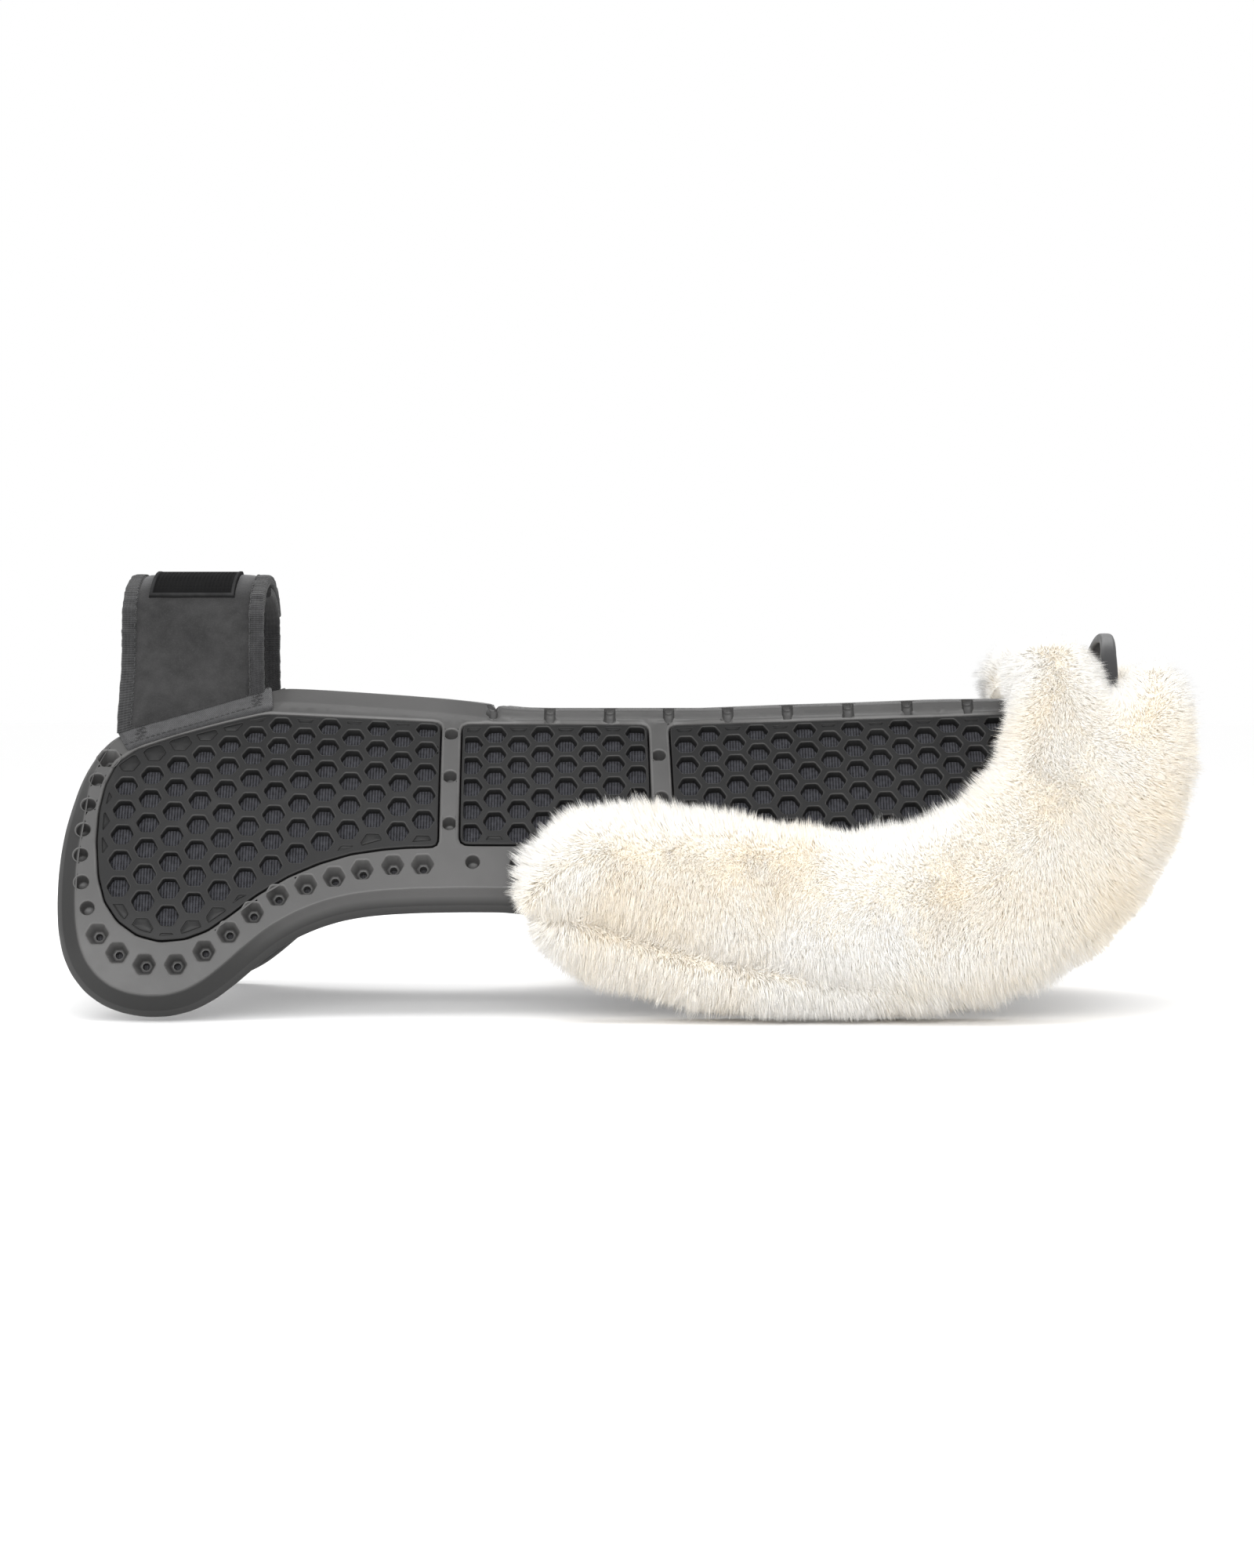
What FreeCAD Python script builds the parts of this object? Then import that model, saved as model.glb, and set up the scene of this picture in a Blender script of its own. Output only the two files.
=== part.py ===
import FreeCAD, Part
import math
import os
from FreeCAD import Vector

# Saddle half pad. Millimetres. +X runs from the withers end to the cantle end,
# +Z is up, the horse's left side is at -Y. The origin is the centre of the
# footprint, on the surface that the wing tips and the fleece rolls stand on.

os.makedirs("parts", exist_ok=True)

# ---------------------------------------------------------------- dimensions
TOP_Y = 45.0          # half the width of the spine channel, at the hinge line
TOP_Z = 158.5         # height of the hinge line
BACK_R = 260.0        # radius of the panel's outer face, about an axis along X
TOP_SLOPE = 43.0      # slope of the panel at the hinge line, degrees
SHIFT_X = -2.95       # puts the middle of the footprint at X 0

FRAME_T = 12.0        # thickness of the moulded frame
INSERT_T = 4.6        # thickness of the perforated insert
GROOVE = 0.8          # gap round each insert
LINING_T = 2.0        # lining under the frame
LINING_INSET = 4.0    # lining's edge, inside the frame's edge
BEVEL_DEPTH = 6.0     # how far down the frame's rim the bevel goes
CELL_R = 6.0          # corner radius of a hexagonal cell in an insert
CELL_MARGIN = 1.6     # web kept between a cell and the insert's edge

STRAP_X0, STRAP_X1 = -264.6, -190.2   # withers strap, front and rear edge
BINDING_W = 8.2       # width of the binding along each edge of the strap
SHOULDER_Z = 198.0    # where the strap's shoulder arc begins
SHOULDER_R = 24.0     # outer radius of the shoulder
CROWN_HALF = 60.0     # angle at which the shoulder meets the crown, degrees
HINGE_Z = 195.5       # fold line of the strap's crown
STRAP_T = 4.0         # padded strap
FLAP_D = 6.2          # depth of the short flap below the strap's outer face

ARCH_R = 46.3         # outer radius of the rear bridge
ARCH_T = 6.0          # its thickness
ARCH_Z = 151.2        # height of its centre
ARCH_FOOT_Z = 166.0   # where its legs end

FLEECE_OUT = 27.0     # fleece above the panel's outer face
FLEECE_IN = 20.0      # fleece below the panel's lining

A_TOP = math.radians(TOP_SLOPE)
YC = -TOP_Y + BACK_R * math.sin(A_TOP)      # axis of the left panel's outer face
ZC = TOP_Z - BACK_R * math.cos(A_TOP)
R_IN = BACK_R - FRAME_T

# ------------------------------------------------- outlines, unrolled (X, s)
# s is the arc length down the panel's outer face, from the hinge line.
PANEL = [
    (-264.5, 19.5), (-250.0, 13.5), (-235.0, 7.5), (-220.0, 1.5), (-205.0, -5.0), (-193.0, -10.5),
    (-184.0, -14.2), (-165.0, -13.2), (-144.0, -11.1), (-120.0, -8.6), (-98.7, -6.1), (-80.0, -3.2), (-68.0, -0.4),
    (-55.0, 1.4), (-41.0, 1.8), (0.0, 1.8), (41.0, 1.8), (82.0, -0.6), (123.0, -2.4),
    (164.5, -4.9), (200.0, -5.4), (235.0, -5.4), (252.0, -4.0), (262.0, 2.0), (268.5, 12.0), (271.0, 26.0),
    (271.0, 42.0), (268.0, 62.0), (261.0, 84.0), (250.0, 104.0), (234.0, 122.0), (213.0, 137.0),
    (188.0, 148.0), (160.0, 155.0), (130.0, 158.5), (100.0, 159.5), (70.0, 158.5), (42.0, 155.0), (16.0, 149.0),
    (-6.0, 141.0), (-26.0, 131.5), (-44.0, 125.0), (-62.0, 122.8), (-83.0, 122.7), (-105.0, 123.1), (-121.5, 124.0),
    (-132.6, 125.2), (-144.0, 127.4), (-155.0, 131.0), (-165.5, 135.8), (-176.0, 142.4), (-186.5, 151.4),
    (-197.0, 161.0), (-207.0, 169.0), (-218.0, 175.0), (-230.0, 178.1), (-242.0, 178.4), (-253.5, 176.4),
    (-264.0, 172.2), (-273.0, 165.4), (-280.2, 156.2), (-285.0, 145.2), (-287.7, 132.0), (-288.8, 118.0),
    (-289.1, 103.0), (-288.6, 89.0), (-287.3, 75.5), (-285.3, 63.5), (-282.6, 52.5), (-279.2, 41.5),
    (-275.0, 31.5), (-270.0, 23.8)]

INSERTS = {
    "front": [
        (-186.6, 6.5), (-99.6, 12.3), (-97.6, 13.3), (-97.0, 15.6), (-96.3, 86.6), (-96.9, 88.8), (-98.9, 89.6),
        (-112.0, 90.0), (-123.6, 91.0), (-139.9, 93.6), (-155.9, 98.8), (-171.5, 106.0), (-187.3, 116.1),
        (-200.0, 126.4), (-211.1, 134.5), (-222.0, 138.8), (-234.9, 140.0), (-246.1, 137.0), (-256.2, 129.7),
        (-263.1, 119.4), (-267.0, 106.0), (-269.1, 86.6), (-269.2, 70.0), (-267.1, 53.5), (-262.5, 40.0),
        (-253.2, 31.2), (-234.1, 22.3), (-210.1, 13.3), (-196.0, 8.6), (-190.5, 7.0)],
    "middle": [
        (-83.0, 13.8), (8.0, 14.3), (9.9, 15.2), (10.5, 17.2), (12.2, 86.4), (11.5, 88.3), (9.6, 89.0),
        (-82.0, 88.5), (-84.0, 87.7), (-84.8, 85.8), (-85.4, 16.4), (-84.8, 14.5)],
    "rear": [
        (24.4, 14.6), (110.0, 11.0), (200.0, 6.8), (228.0, 7.2), (243.0, 11.5), (251.0, 22.0), (253.0, 36.0), (250.0, 56.0),
        (242.0, 78.0), (227.0, 99.0), (204.0, 115.0), (174.0, 126.0), (140.0, 130.5), (105.0, 130.0), (72.0, 124.5),
        (44.0, 115.0), (30.0, 107.5), (26.6, 104.4), (25.6, 100.5), (22.4, 17.4), (22.8, 15.5)],
}

# Hexagonal cells: one cell's centre and the two steps of its lattice.
LATTICE = {
    "front": ((-180.2, 14.2), (12.722, 7.67), (-0.031, 14.364)),
    "middle": ((-55.8, 41.2), (12.328, 6.679), (0.209, 13.657)),
    "rear": ((179.9, 20.1), (12.84, 6.181), (0.777, 13.609)),
}

HEX_POCKETS = [
    (-267.3, 37.0), (-266.2, 136.6), (-255.9, 146.2), (-242.0, 152.2), (-226.3, 152.2), (-212.3, 145.4),
    (-200.4, 135.8), (-188.6, 125.6), (-176.3, 116.5), (-162.2, 110.7), (-148.1, 106.5), (-134.0, 102.6),
    (-118.6, 100.1), (-103.5, 99.7)]
ROUND_POCKETS = [
    (-272.1, 50.5), (-275.1, 65.8), (-276.7, 80.4), (-276.9, 94.5), (-275.5, 109.4), (-271.9, 123.1),
    (-91.2, 20.6), (-91.0, 48.5), (-90.6, 76.8), (16.4, 35.0), (17.6, 61.6), (-78.2, 98.4), (-55.6, 99.4)]
RIM_NOTCHES = [-70.5, -40.2, -9.0, 21.7, 52.5, 83.7, 115.4, 146.3, 178.0, 209.0]

# Fleece roll: the edge that lies on the panel, then the edge beyond it.
FLEECE_INNER = [
    (-59.0, 124.0), (-57.5, 112.0), (-54.0, 99.0), (-47.5, 87.0), (-37.0, 77.0), (-24.0, 71.0), (-8.0, 68.5),
    (12.0, 69.0), (35.0, 71.0), (60.0, 75.0), (85.0, 80.0), (110.0, 82.5), (133.0, 81.0), (152.0, 75.5),
    (168.0, 65.5), (180.0, 52.0), (188.5, 36.0), (194.0, 18.0), (198.0, 2.0), (200.0, -9.0)]
FLEECE_OUTER = [
    (206.0, -17.0), (220.0, -20.0), (238.0, -19.0), (247.0, -13.0), (248.5, 10.0), (267.5, 10.0),
    (268.5, -6.0), (276.0, -10.0), (285.0, -7.0), (291.0, 3.0), (294.0, 18.0), (295.0, 36.0), (292.0, 58.0),
    (285.5, 83.0), (275.0, 108.0), (259.0, 131.0), (237.0, 150.0), (208.0, 166.0), (178.0, 176.0), (146.0, 181.0),
    (112.0, 182.5), (78.0, 181.0), (46.0, 177.0), (15.0, 169.5), (-12.0, 160.5), (-36.0, 150.5), (-52.0, 140.5)]
# Fleece under the panel: a band along the same edge.
UNDER_INNER = [
    (-48.0, 118.0), (-26.0, 121.0), (-2.0, 129.0), (20.0, 137.0), (46.0, 143.0), (74.0, 146.0), (104.0, 147.0),
    (134.0, 146.0), (160.0, 142.5), (184.0, 136.0), (206.0, 126.0), (224.0, 112.0), (238.0, 95.0),
    (248.0, 76.0), (254.0, 56.0), (256.0, 36.0), (256.0, 12.0)]


# ------------------------------------------------------------------- helpers
def surf(x, s, r):
    a = A_TOP + s / BACK_R
    return Vector(x, YC - r * math.sin(a), ZC + r * math.cos(a))


def closed(points):
    return Part.makePolygon(list(points) + [points[0]])


def prism(outline, r_lo, r_hi):
    """Solid whose walls are radial to the panel's axis and follow the outline."""
    alphas = [A_TOP + s / BACK_R for _, s in outline]
    mid = (min(alphas) + max(alphas)) / 2
    half = (max(alphas) - min(alphas)) / 2
    d_in, d_out = (r_lo - 0.8) * math.cos(half), r_hi + 0.8
    n = Vector(0, -math.sin(mid), math.cos(mid))
    t = Vector(0, -math.cos(mid), -math.sin(mid))

    def ring(d):
        return closed([Vector(x, YC, ZC) + n * d + t * (d * math.tan(a - mid)) for (x, _), a in zip(outline, alphas)])

    return Part.makeLoft([ring(d_in), ring(d_out)], True, True)


def shell(r_lo, r_hi):
    a = Part.makeCylinder(r_hi, 700, Vector(-350, YC, ZC), Vector(1, 0, 0))
    return a.cut(Part.makeCylinder(r_lo, 700, Vector(-350, YC, ZC), Vector(1, 0, 0)))


def plate(outline, r_lo, r_hi):
    return shell(r_lo, r_hi).common(prism(outline, r_lo, r_hi))


def offset(outline, d):
    """Outline moved inwards by d (outwards when d is negative), same number of points."""
    n = len(outline)
    area = sum(outline[i][0] * outline[(i + 1) % n][1] - outline[(i + 1) % n][0] * outline[i][1] for i in range(n))
    sign = 1.0 if area > 0 else -1.0
    out = []
    for i in range(n):
        (ax, ay), (bx, by), (cx, cy) = outline[i - 1], outline[i], outline[(i + 1) % n]
        l1, l2 = math.hypot(bx - ax, by - ay), math.hypot(cx - bx, cy - by)
        n1 = (-(by - ay) / l1 * sign, (bx - ax) / l1 * sign)
        n2 = (-(cy - by) / l2 * sign, (cx - bx) / l2 * sign)
        mx, my = n1[0] + n2[0], n1[1] + n2[1]
        k = d / max(0.35, (mx * n1[0] + my * n1[1]))
        out.append((bx + mx * k, by + my * k))
    return out


def inside(p, poly):
    hit = False
    for i in range(len(poly)):
        (x1, y1), (x2, y2) = poly[i - 1], poly[i]
        if (y1 > p[1]) != (y2 > p[1]) and p[0] < (x2 - x1) * (p[1] - y1) / (y2 - y1) + x1:
            hit = not hit
    return hit


def distance(p, poly):
    best = 1e9
    for i in range(len(poly)):
        (x1, y1), (x2, y2) = poly[i - 1], poly[i]
        dx, dy = x2 - x1, y2 - y1
        u = max(0.0, min(1.0, ((p[0] - x1) * dx + (p[1] - y1) * dy) / (dx * dx + dy * dy)))
        best = min(best, math.hypot(p[0] - x1 - u * dx, p[1] - y1 - u * dy))
    return best


def cells(name):
    (ox, oy), a, b = LATTICE[name]
    poly = INSERTS[name]
    found = []
    for i in range(-45, 46):
        for j in range(-45, 46):
            p = (ox + i * a[0] + j * b[0], oy + i * a[1] + j * b[1])
            if inside(p, poly) and distance(p, poly) > CELL_R * 0.93 + CELL_MARGIN:
                found.append(p)
    return sorted(found)


def hex_tool(c, radius, r_lo, r_hi, top_radius=None):
    """Hexagonal prism on the local normal, flat sides facing along s; tapered if top_radius is given."""
    a = A_TOP + c[1] / BACK_R
    n, t = Vector(0, -math.sin(a), math.cos(a)), Vector(0, -math.cos(a), -math.sin(a))

    def ring(r, rad):
        o = Vector(c[0], YC, ZC) + n * r
        return closed([o + Vector(rad * math.cos(math.radians(60 * k)), 0, 0) + t * (rad * math.sin(math.radians(60 * k)))
                       for k in range(6)])

    if top_radius is None:
        return Part.Face(ring(r_lo, radius)).extrude(n * (r_hi - r_lo))
    return Part.makeLoft([ring(r_lo, radius), ring(r_hi, top_radius)], True, True)


def round_tool(c, radius, r_lo, r_hi):
    a = A_TOP + c[1] / BACK_R
    n = Vector(0, -math.sin(a), math.cos(a))
    return Part.makeCylinder(radius, r_hi - r_lo, Vector(c[0], YC, ZC) + n * r_lo, n)


def one(shape):
    """The single solid of a boolean result."""
    solids = sorted(shape.Solids, key=lambda s: -s.Volume)
    return solids[0]


done = {}


def save(name, shape):
    shape = shape.copy()
    shape.translate(Vector(SHIFT_X, 0, 0))
    done[name] = shape
    shape.exportStep("parts/%s.step" % name)
    box = shape.BoundBox
    print("%-30s solids %d valid %s volume %.1f cm3  X %.1f %.1f  Y %.1f %.1f  Z %.1f %.1f" % (
        name, len(shape.Solids), shape.isValid(), shape.Volume / 1000, box.XMin, box.XMax, box.YMin, box.YMax, box.ZMin, box.ZMax))


def save_pair(name, shape):
    save("left_" + name, shape)
    save("right_" + name, shape.mirror(Vector(0, 0, 0), Vector(0, 1, 0)))


# -------------------------------------------------------------------- panels
floor = Part.makeBox(800, 800, 200, Vector(-400, -400, -200))

frame = plate(PANEL, R_IN, BACK_R)
# bevel round the rim: a ring whose section is cut off the outer edge
n_pts = len(PANEL)
rim_w = []
for (x, s) in PANEL:
    if s > 60 and x < 0:
        rim_w.append(11.0)
    elif x < -268:
        rim_w.append(6.5)
    elif s < 30:
        rim_w.append(1.5)
    else:
        rim_w.append(8.0)
flat_edge = []
for i, (x, s) in enumerate(PANEL):
    w = (rim_w[i - 2] + rim_w[i - 1] + rim_w[i] + rim_w[(i + 1) % n_pts] + rim_w[(i + 2) % n_pts]) / 5
    flat_edge.append(offset(PANEL, w)[i])


def bevel_tool():
    """Closed ring of triangles: everything outside the line from the flat face's edge to the rim."""
    rings = []
    for i, (x, s) in enumerate(PANEL):
        fx, fs = flat_edge[i]
        dx, ds = x - fx, s - fs
        w = math.hypot(dx, ds)
        depth = min(BEVEL_DEPTH, w * 0.62)
        ux, us = dx / w, ds / w
        rings.append([
            surf(fx - ux * w * 0.25, fs - us * w * 0.25, BACK_R + depth * 0.25),
            surf(x + ux * w * 0.25, s + us * w * 0.25, BACK_R - depth * 1.25),
            surf(x + ux * (w * 0.25 + 4), s + us * (w * 0.25 + 4), BACK_R - depth * 1.25),
            surf(x + ux * (w * 0.25 + 4), s + us * (w * 0.25 + 4), BACK_R + depth * 0.25 + 3),
            surf(fx - ux * w * 0.25, fs - us * w * 0.25, BACK_R + depth * 0.25 + 3)])
    faces = []
    for i in range(n_pts):
        a, b = rings[i], rings[(i + 1) % n_pts]
        for k in range(5):
            m = (k + 1) % 5
            faces.append(Part.Face(closed([a[k], a[m], b[m]])))
            faces.append(Part.Face(closed([a[k], b[m], b[k]])))
    return Part.makeSolid(Part.makeShell(faces))


bevelled = frame.cut(bevel_tool())
if bevelled.isValid() and len(bevelled.Solids) == 1:
    frame = bevelled
else:
    print("bevel left out")

windows = [prism(offset(INSERTS[k], -GROOVE), R_IN - 2, BACK_R + 2) for k in INSERTS]
frame = frame.cut(windows)
pockets = []
for c in HEX_POCKETS:
    pockets.append(hex_tool(c, 3.4, BACK_R - 8.0, BACK_R + 1.5, 5.9))
    pockets.append(round_tool(c, 1.85, R_IN - 1, BACK_R - 7))
for c in ROUND_POCKETS:
    pockets.append(round_tool(c, 3.5, BACK_R - 8.0, BACK_R + 1.5))
for x in RIM_NOTCHES:
    top = 1.9
    for i in range(len(PANEL) - 1):
        (x1, s1), (x2, s2) = PANEL[i], PANEL[i + 1]
        if x1 < x <= x2 and s1 < 20 and s2 < 20:
            top = s1 + (s2 - s1) * (x - x1) / (x2 - x1)
    pockets.append(prism([(x - 2.7, top - 3), (x + 2.7, top - 3), (x + 2.7, top + 8.2), (x + 1.6, top + 10.3),
                          (x - 1.6, top + 10.3), (x - 2.7, top + 8.2)], BACK_R - 2.6 + 0.8, BACK_R + 3))
frame = one(frame.cut(pockets))
save_pair("frame", frame)

for k in ("front", "middle", "rear"):
    body = plate(INSERTS[k], BACK_R - INSERT_T, BACK_R)
    body = one(body.cut([hex_tool(c, CELL_R, BACK_R - INSERT_T - 1, BACK_R + 1) for c in cells(k)]))
    save_pair(k + "_insert", body)
    save_pair(k + "_foam_pad", one(plate(INSERTS[k], R_IN, BACK_R - INSERT_T)))

save_pair("lining", one(plate(offset(PANEL, LINING_INSET), R_IN - LINING_T, R_IN)))

# ------------------------------------------------------------- fleece rolls
roll = plate(FLEECE_INNER + FLEECE_OUTER, BACK_R, BACK_R + FLEECE_OUT).cut(floor)
save_pair("fleece_roll", one(roll))
slot = prism([(247.5, -40), (268.5, -40), (268.5, 10), (247.5, 10)], R_IN - 40, BACK_R + 60)
beyond = plate(list(reversed(UNDER_INNER)) + [(-54.0, 128.0)] + list(reversed(
    [p for p in FLEECE_OUTER if p[0] < 296 and p[1] > 11])) + [(268.5, 12.0)], R_IN, BACK_R)
core = beyond.cut(prism(offset(PANEL, -0.5), R_IN - 5, BACK_R + 5)).cut(floor)
save_pair("roll_core", one(core))
under = plate(list(reversed(UNDER_INNER)) + [(-54.0, 128.0)] + list(reversed(
    [p for p in FLEECE_OUTER if p[1] > 11])) + [(268.5, 12.0)], R_IN - LINING_T - FLEECE_IN, R_IN - LINING_T).cut(floor)
save_pair("fleece_underside", one(under))

# --------------------------------------------------- strap base on the panel
base = plate([(-264.3, 20.5), (-250.0, 14.5), (-235.0, 8.5), (-220.0, 2.5), (-205.0, -4.0), (-186.5, -11.5),
              (-184.8, 3.5), (-205.0, 10.0), (-220.0, 15.5), (-235.0, 21.5), (-250.0, 28.0), (-258.0, 32.5)],
             BACK_R, BACK_R + 2.6)
save_pair("strap_base", one(base))
tab = plate([(250.0, -3.0), (258.0, 0.5), (263.5, 6.0), (264.0, 9.5), (250.0, 9.5)], BACK_R, BACK_R + 4.0)
save_pair("bridge_tab", one(tab))

# ------------------------------------------------------------ withers strap
C1 = (-TOP_Y + SHOULDER_R, SHOULDER_Z)
PHI = math.radians(CROWN_HALF)
joint_pt = (C1[0] - SHOULDER_R * math.cos(PHI), C1[1] + SHOULDER_R * math.sin(PHI))
CROWN_R = -joint_pt[0] / math.cos(PHI)
C2 = (0.0, joint_pt[1] - CROWN_R * math.sin(PHI))


def on_path(d, t):
    """Point on the strap's section at depth d. t 0..1 near wall, 1..2 shoulder, 2..3 crown, 3..4 shoulder, 4..5 far wall."""
    if t <= 1:
        return (-TOP_Y + d, SHOULDER_Z - 12 * (1 - t))
    if t >= 4:
        return (TOP_Y - d, SHOULDER_Z - 12 * (t - 4))
    if t < 2:
        a = math.pi - PHI * (t - 1)
        c, r = C1, SHOULDER_R
    elif t < 3:
        a = math.pi - PHI - (math.pi - 2 * PHI) * (t - 2)
        c, r = C2, CROWN_R
    else:
        a = PHI * (4 - t)
        c, r = (-C1[0], C1[1]), SHOULDER_R
    return (c[0] + (r - d) * math.cos(a), c[1] + (r - d) * math.sin(a))


def path_edges(d, t0, t1, x):
    cuts = [t0] + [k for k in (1, 2, 3, 4) if t0 + 1e-6 < k < t1 - 1e-6] + [t1]
    edges = []
    for a, b in zip(cuts, cuts[1:]):
        p, m, q = (on_path(d, v) for v in (a, (a + b) / 2, b))
        p, m, q = (Vector(x, v[0], v[1]) for v in (p, m, q))
        straight = abs((m - p).cross(q - p).Length) < 1e-4
        edges.append(Part.LineSegment(p, q).toShape() if straight else Part.Arc(p, m, q).toShape())
    return edges


def strip(d0, d1, t0, t1, x0, x1):
    outer, inner = path_edges(d0, t0, t1, x0), path_edges(d1, t0, t1, x0)
    ends = []
    for t in (t0, t1):
        p, q = on_path(d0, t), on_path(d1, t)
        ends.append(Part.LineSegment(Vector(x0, p[0], p[1]), Vector(x0, q[0], q[1])).toShape())
    wire = Part.Wire(Part.__sortEdges__(outer + inner + ends))
    return Part.Face(wire).extrude(Vector(x1 - x0, 0, 0))


T_SPLIT = 1 - (SHOULDER_Z - HINGE_Z - 0.5) / 12.0     # the crown piece begins 0.5 above the fold line
T_LEG = SHOULDER_Z - HINGE_Z + 0.5


def leg_foot(x):
    """Outer face of the strap's lower edge, (y, z), clear of the panel's swing."""
    u = (x - STRAP_X0) / (STRAP_X1 - STRAP_X0)
    return (-55.5 + 10.5 * u, 151.0 + 20.8 * u)


def leg(x0, x1, d0, d1, z_top, side=-1):
    """Twisted sheet from the lower edge up to z_top; d0 and d1 are the depths of its faces."""
    def ring(points):
        return closed([Vector(x, y * (-side), z) for x, y, z in points])
    (ya, za), (yb, zb) = leg_foot(x0), leg_foot(x1)
    low = ring([(x0, ya + d0, za), (x1, yb + d0, zb), (x1, yb + d1, zb), (x0, ya + d1, za)])
    high = ring([(x0, -TOP_Y + d0, z_top), (x1, -TOP_Y + d0, z_top), (x1, -TOP_Y + d1, z_top), (x0, -TOP_Y + d1, z_top)])
    return Part.makeLoft([low, high], True, True)


XA, XB = STRAP_X0 + BINDING_W, STRAP_X1 - BINDING_W
z_leg = HINGE_Z - 0.5
save("strap_leg", leg(XA, XB, 0.0, STRAP_T, z_leg))
save("strap_leg_binding_front", leg(STRAP_X0, XA, -0.8, STRAP_T + 0.8, z_leg))
save("strap_leg_binding_rear", leg(XB, STRAP_X1, -0.8, STRAP_T + 0.8, z_leg))
save("strap_crown", strip(0.0, STRAP_T, T_SPLIT, 3.55, XA, XB))
save("crown_binding_front", strip(-0.8, STRAP_T + 0.8, T_SPLIT, 3.55, STRAP_X0, XA))
save("crown_binding_rear", strip(-0.8, STRAP_T + 0.8, T_SPLIT, 3.55, XB, STRAP_X1))
save("hook_patch", strip(STRAP_T, STRAP_T + 0.9, 2.45, 3.5, XA + 1, XB - 1))
save("rubber_badge", strip(-2.2, 0.0, 1.72, 2.56, -251.0, -206.0))

# short flap of the right side, under the crown
FLAP_T = 4.0
z_far = SHOULDER_Z - 12.0


def far_leg(x0, x1, d0, d1):
    """Right-hand leg: from its lower edge to the far wall of the strap's section."""
    (ya, za), (yb, zb) = leg_foot(x0), leg_foot(x1)
    low = closed([Vector(x0, -ya - (d0 - FLAP_D), za), Vector(x1, -yb - (d0 - FLAP_D), zb),
                  Vector(x1, -yb - (d1 - FLAP_D), zb), Vector(x0, -ya - (d1 - FLAP_D), za)])
    high = closed([Vector(x0, TOP_Y - d0, z_far), Vector(x1, TOP_Y - d0, z_far), Vector(x1, TOP_Y - d1, z_far), Vector(x0, TOP_Y - d1, z_far)])
    return Part.makeLoft([low, high], True, True)


def flap(x0, x1, d0, d1, t0=2.36):
    return one(strip(d0, d1, t0, 5.0, x0, x1).fuse(far_leg(x0, x1, d0, d1)))


save("short_flap", flap(XA, XB, FLAP_D, FLAP_D + FLAP_T))
save("flap_binding_front", flap(STRAP_X0, XA, FLAP_D - 0.6, FLAP_D + FLAP_T + 0.6))
save("flap_binding_rear", flap(XB, STRAP_X1, FLAP_D - 0.6, FLAP_D + FLAP_T + 0.6))
save("loop_patch", strip(FLAP_D - 0.9, FLAP_D, 2.4, 3.95, XA + 1, XB - 1))

# --------------------------------------------------------------- rear bridge
foot_a = math.asin((ARCH_FOOT_Z - ARCH_Z) / ARCH_R)
foot_i = math.asin((ARCH_FOOT_Z - ARCH_Z) / (ARCH_R - ARCH_T))


def arc_yz(r, a0, a1, x):
    p, m, q = (Vector(x, r * math.cos(a), ARCH_Z + r * math.sin(a)) for a in (a0, (a0 + a1) / 2, a1))
    return Part.Arc(p, m, q).toShape()


edges = [arc_yz(ARCH_R, foot_a, math.pi - foot_a, 250.0), arc_yz(ARCH_R - ARCH_T, foot_i, math.pi - foot_i, 250.0)]
for s in (1, -1):
    p = Vector(250.0, s * ARCH_R * math.cos(foot_a), ARCH_FOOT_Z)
    q = Vector(250.0, s * (ARCH_R - ARCH_T) * math.cos(foot_i), ARCH_FOOT_Z)
    edges.append(Part.LineSegment(p, q).toShape())
arch = Part.Face(Part.Wire(Part.__sortEdges__(edges))).extrude(Vector(15, 0, 0))
side_profile = closed([Vector(250.6, -80, 160), Vector(264.2, -80, 160), Vector(263.4, -80, 184), Vector(262.2, -80, 199),
                       Vector(254.4, -80, 199), Vector(251.4, -80, 184)])
arch = one(arch.common(Part.Face(side_profile).extrude(Vector(0, 160, 0))))
save("rear_bridge", arch)

boxes = [s.BoundBox for s in done.values()]
lo = [min(getattr(b, k) for b in boxes) for k in ("XMin", "YMin", "ZMin")]
hi = [max(getattr(b, k) for b in boxes) for k in ("XMax", "YMax", "ZMax")]
print("nodes", len(done), "box", [round(v, 2) for v in lo], [round(v, 2) for v in hi],
      "centre x", round((lo[0] + hi[0]) / 2, 3), "y", round((lo[1] + hi[1]) / 2, 3))
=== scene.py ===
import bpy
import bmesh
import math
import numpy as np
from mathutils import Vector, geometry, kdtree, Matrix


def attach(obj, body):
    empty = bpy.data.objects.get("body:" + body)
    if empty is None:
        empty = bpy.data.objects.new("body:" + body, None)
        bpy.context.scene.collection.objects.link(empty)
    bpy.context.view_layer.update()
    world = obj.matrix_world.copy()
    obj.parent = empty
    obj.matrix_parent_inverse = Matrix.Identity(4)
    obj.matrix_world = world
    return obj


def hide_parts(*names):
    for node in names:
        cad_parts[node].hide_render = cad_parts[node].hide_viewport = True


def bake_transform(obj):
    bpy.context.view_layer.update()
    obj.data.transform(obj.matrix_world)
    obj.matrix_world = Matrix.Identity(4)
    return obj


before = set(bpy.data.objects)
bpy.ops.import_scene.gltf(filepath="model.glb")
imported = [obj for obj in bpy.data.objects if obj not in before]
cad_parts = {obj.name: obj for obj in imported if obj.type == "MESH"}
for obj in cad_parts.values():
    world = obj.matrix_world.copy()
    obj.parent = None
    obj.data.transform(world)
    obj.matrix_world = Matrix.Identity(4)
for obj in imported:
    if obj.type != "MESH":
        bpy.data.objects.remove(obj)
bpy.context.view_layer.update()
RNG = np.random.default_rng(20)

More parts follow.
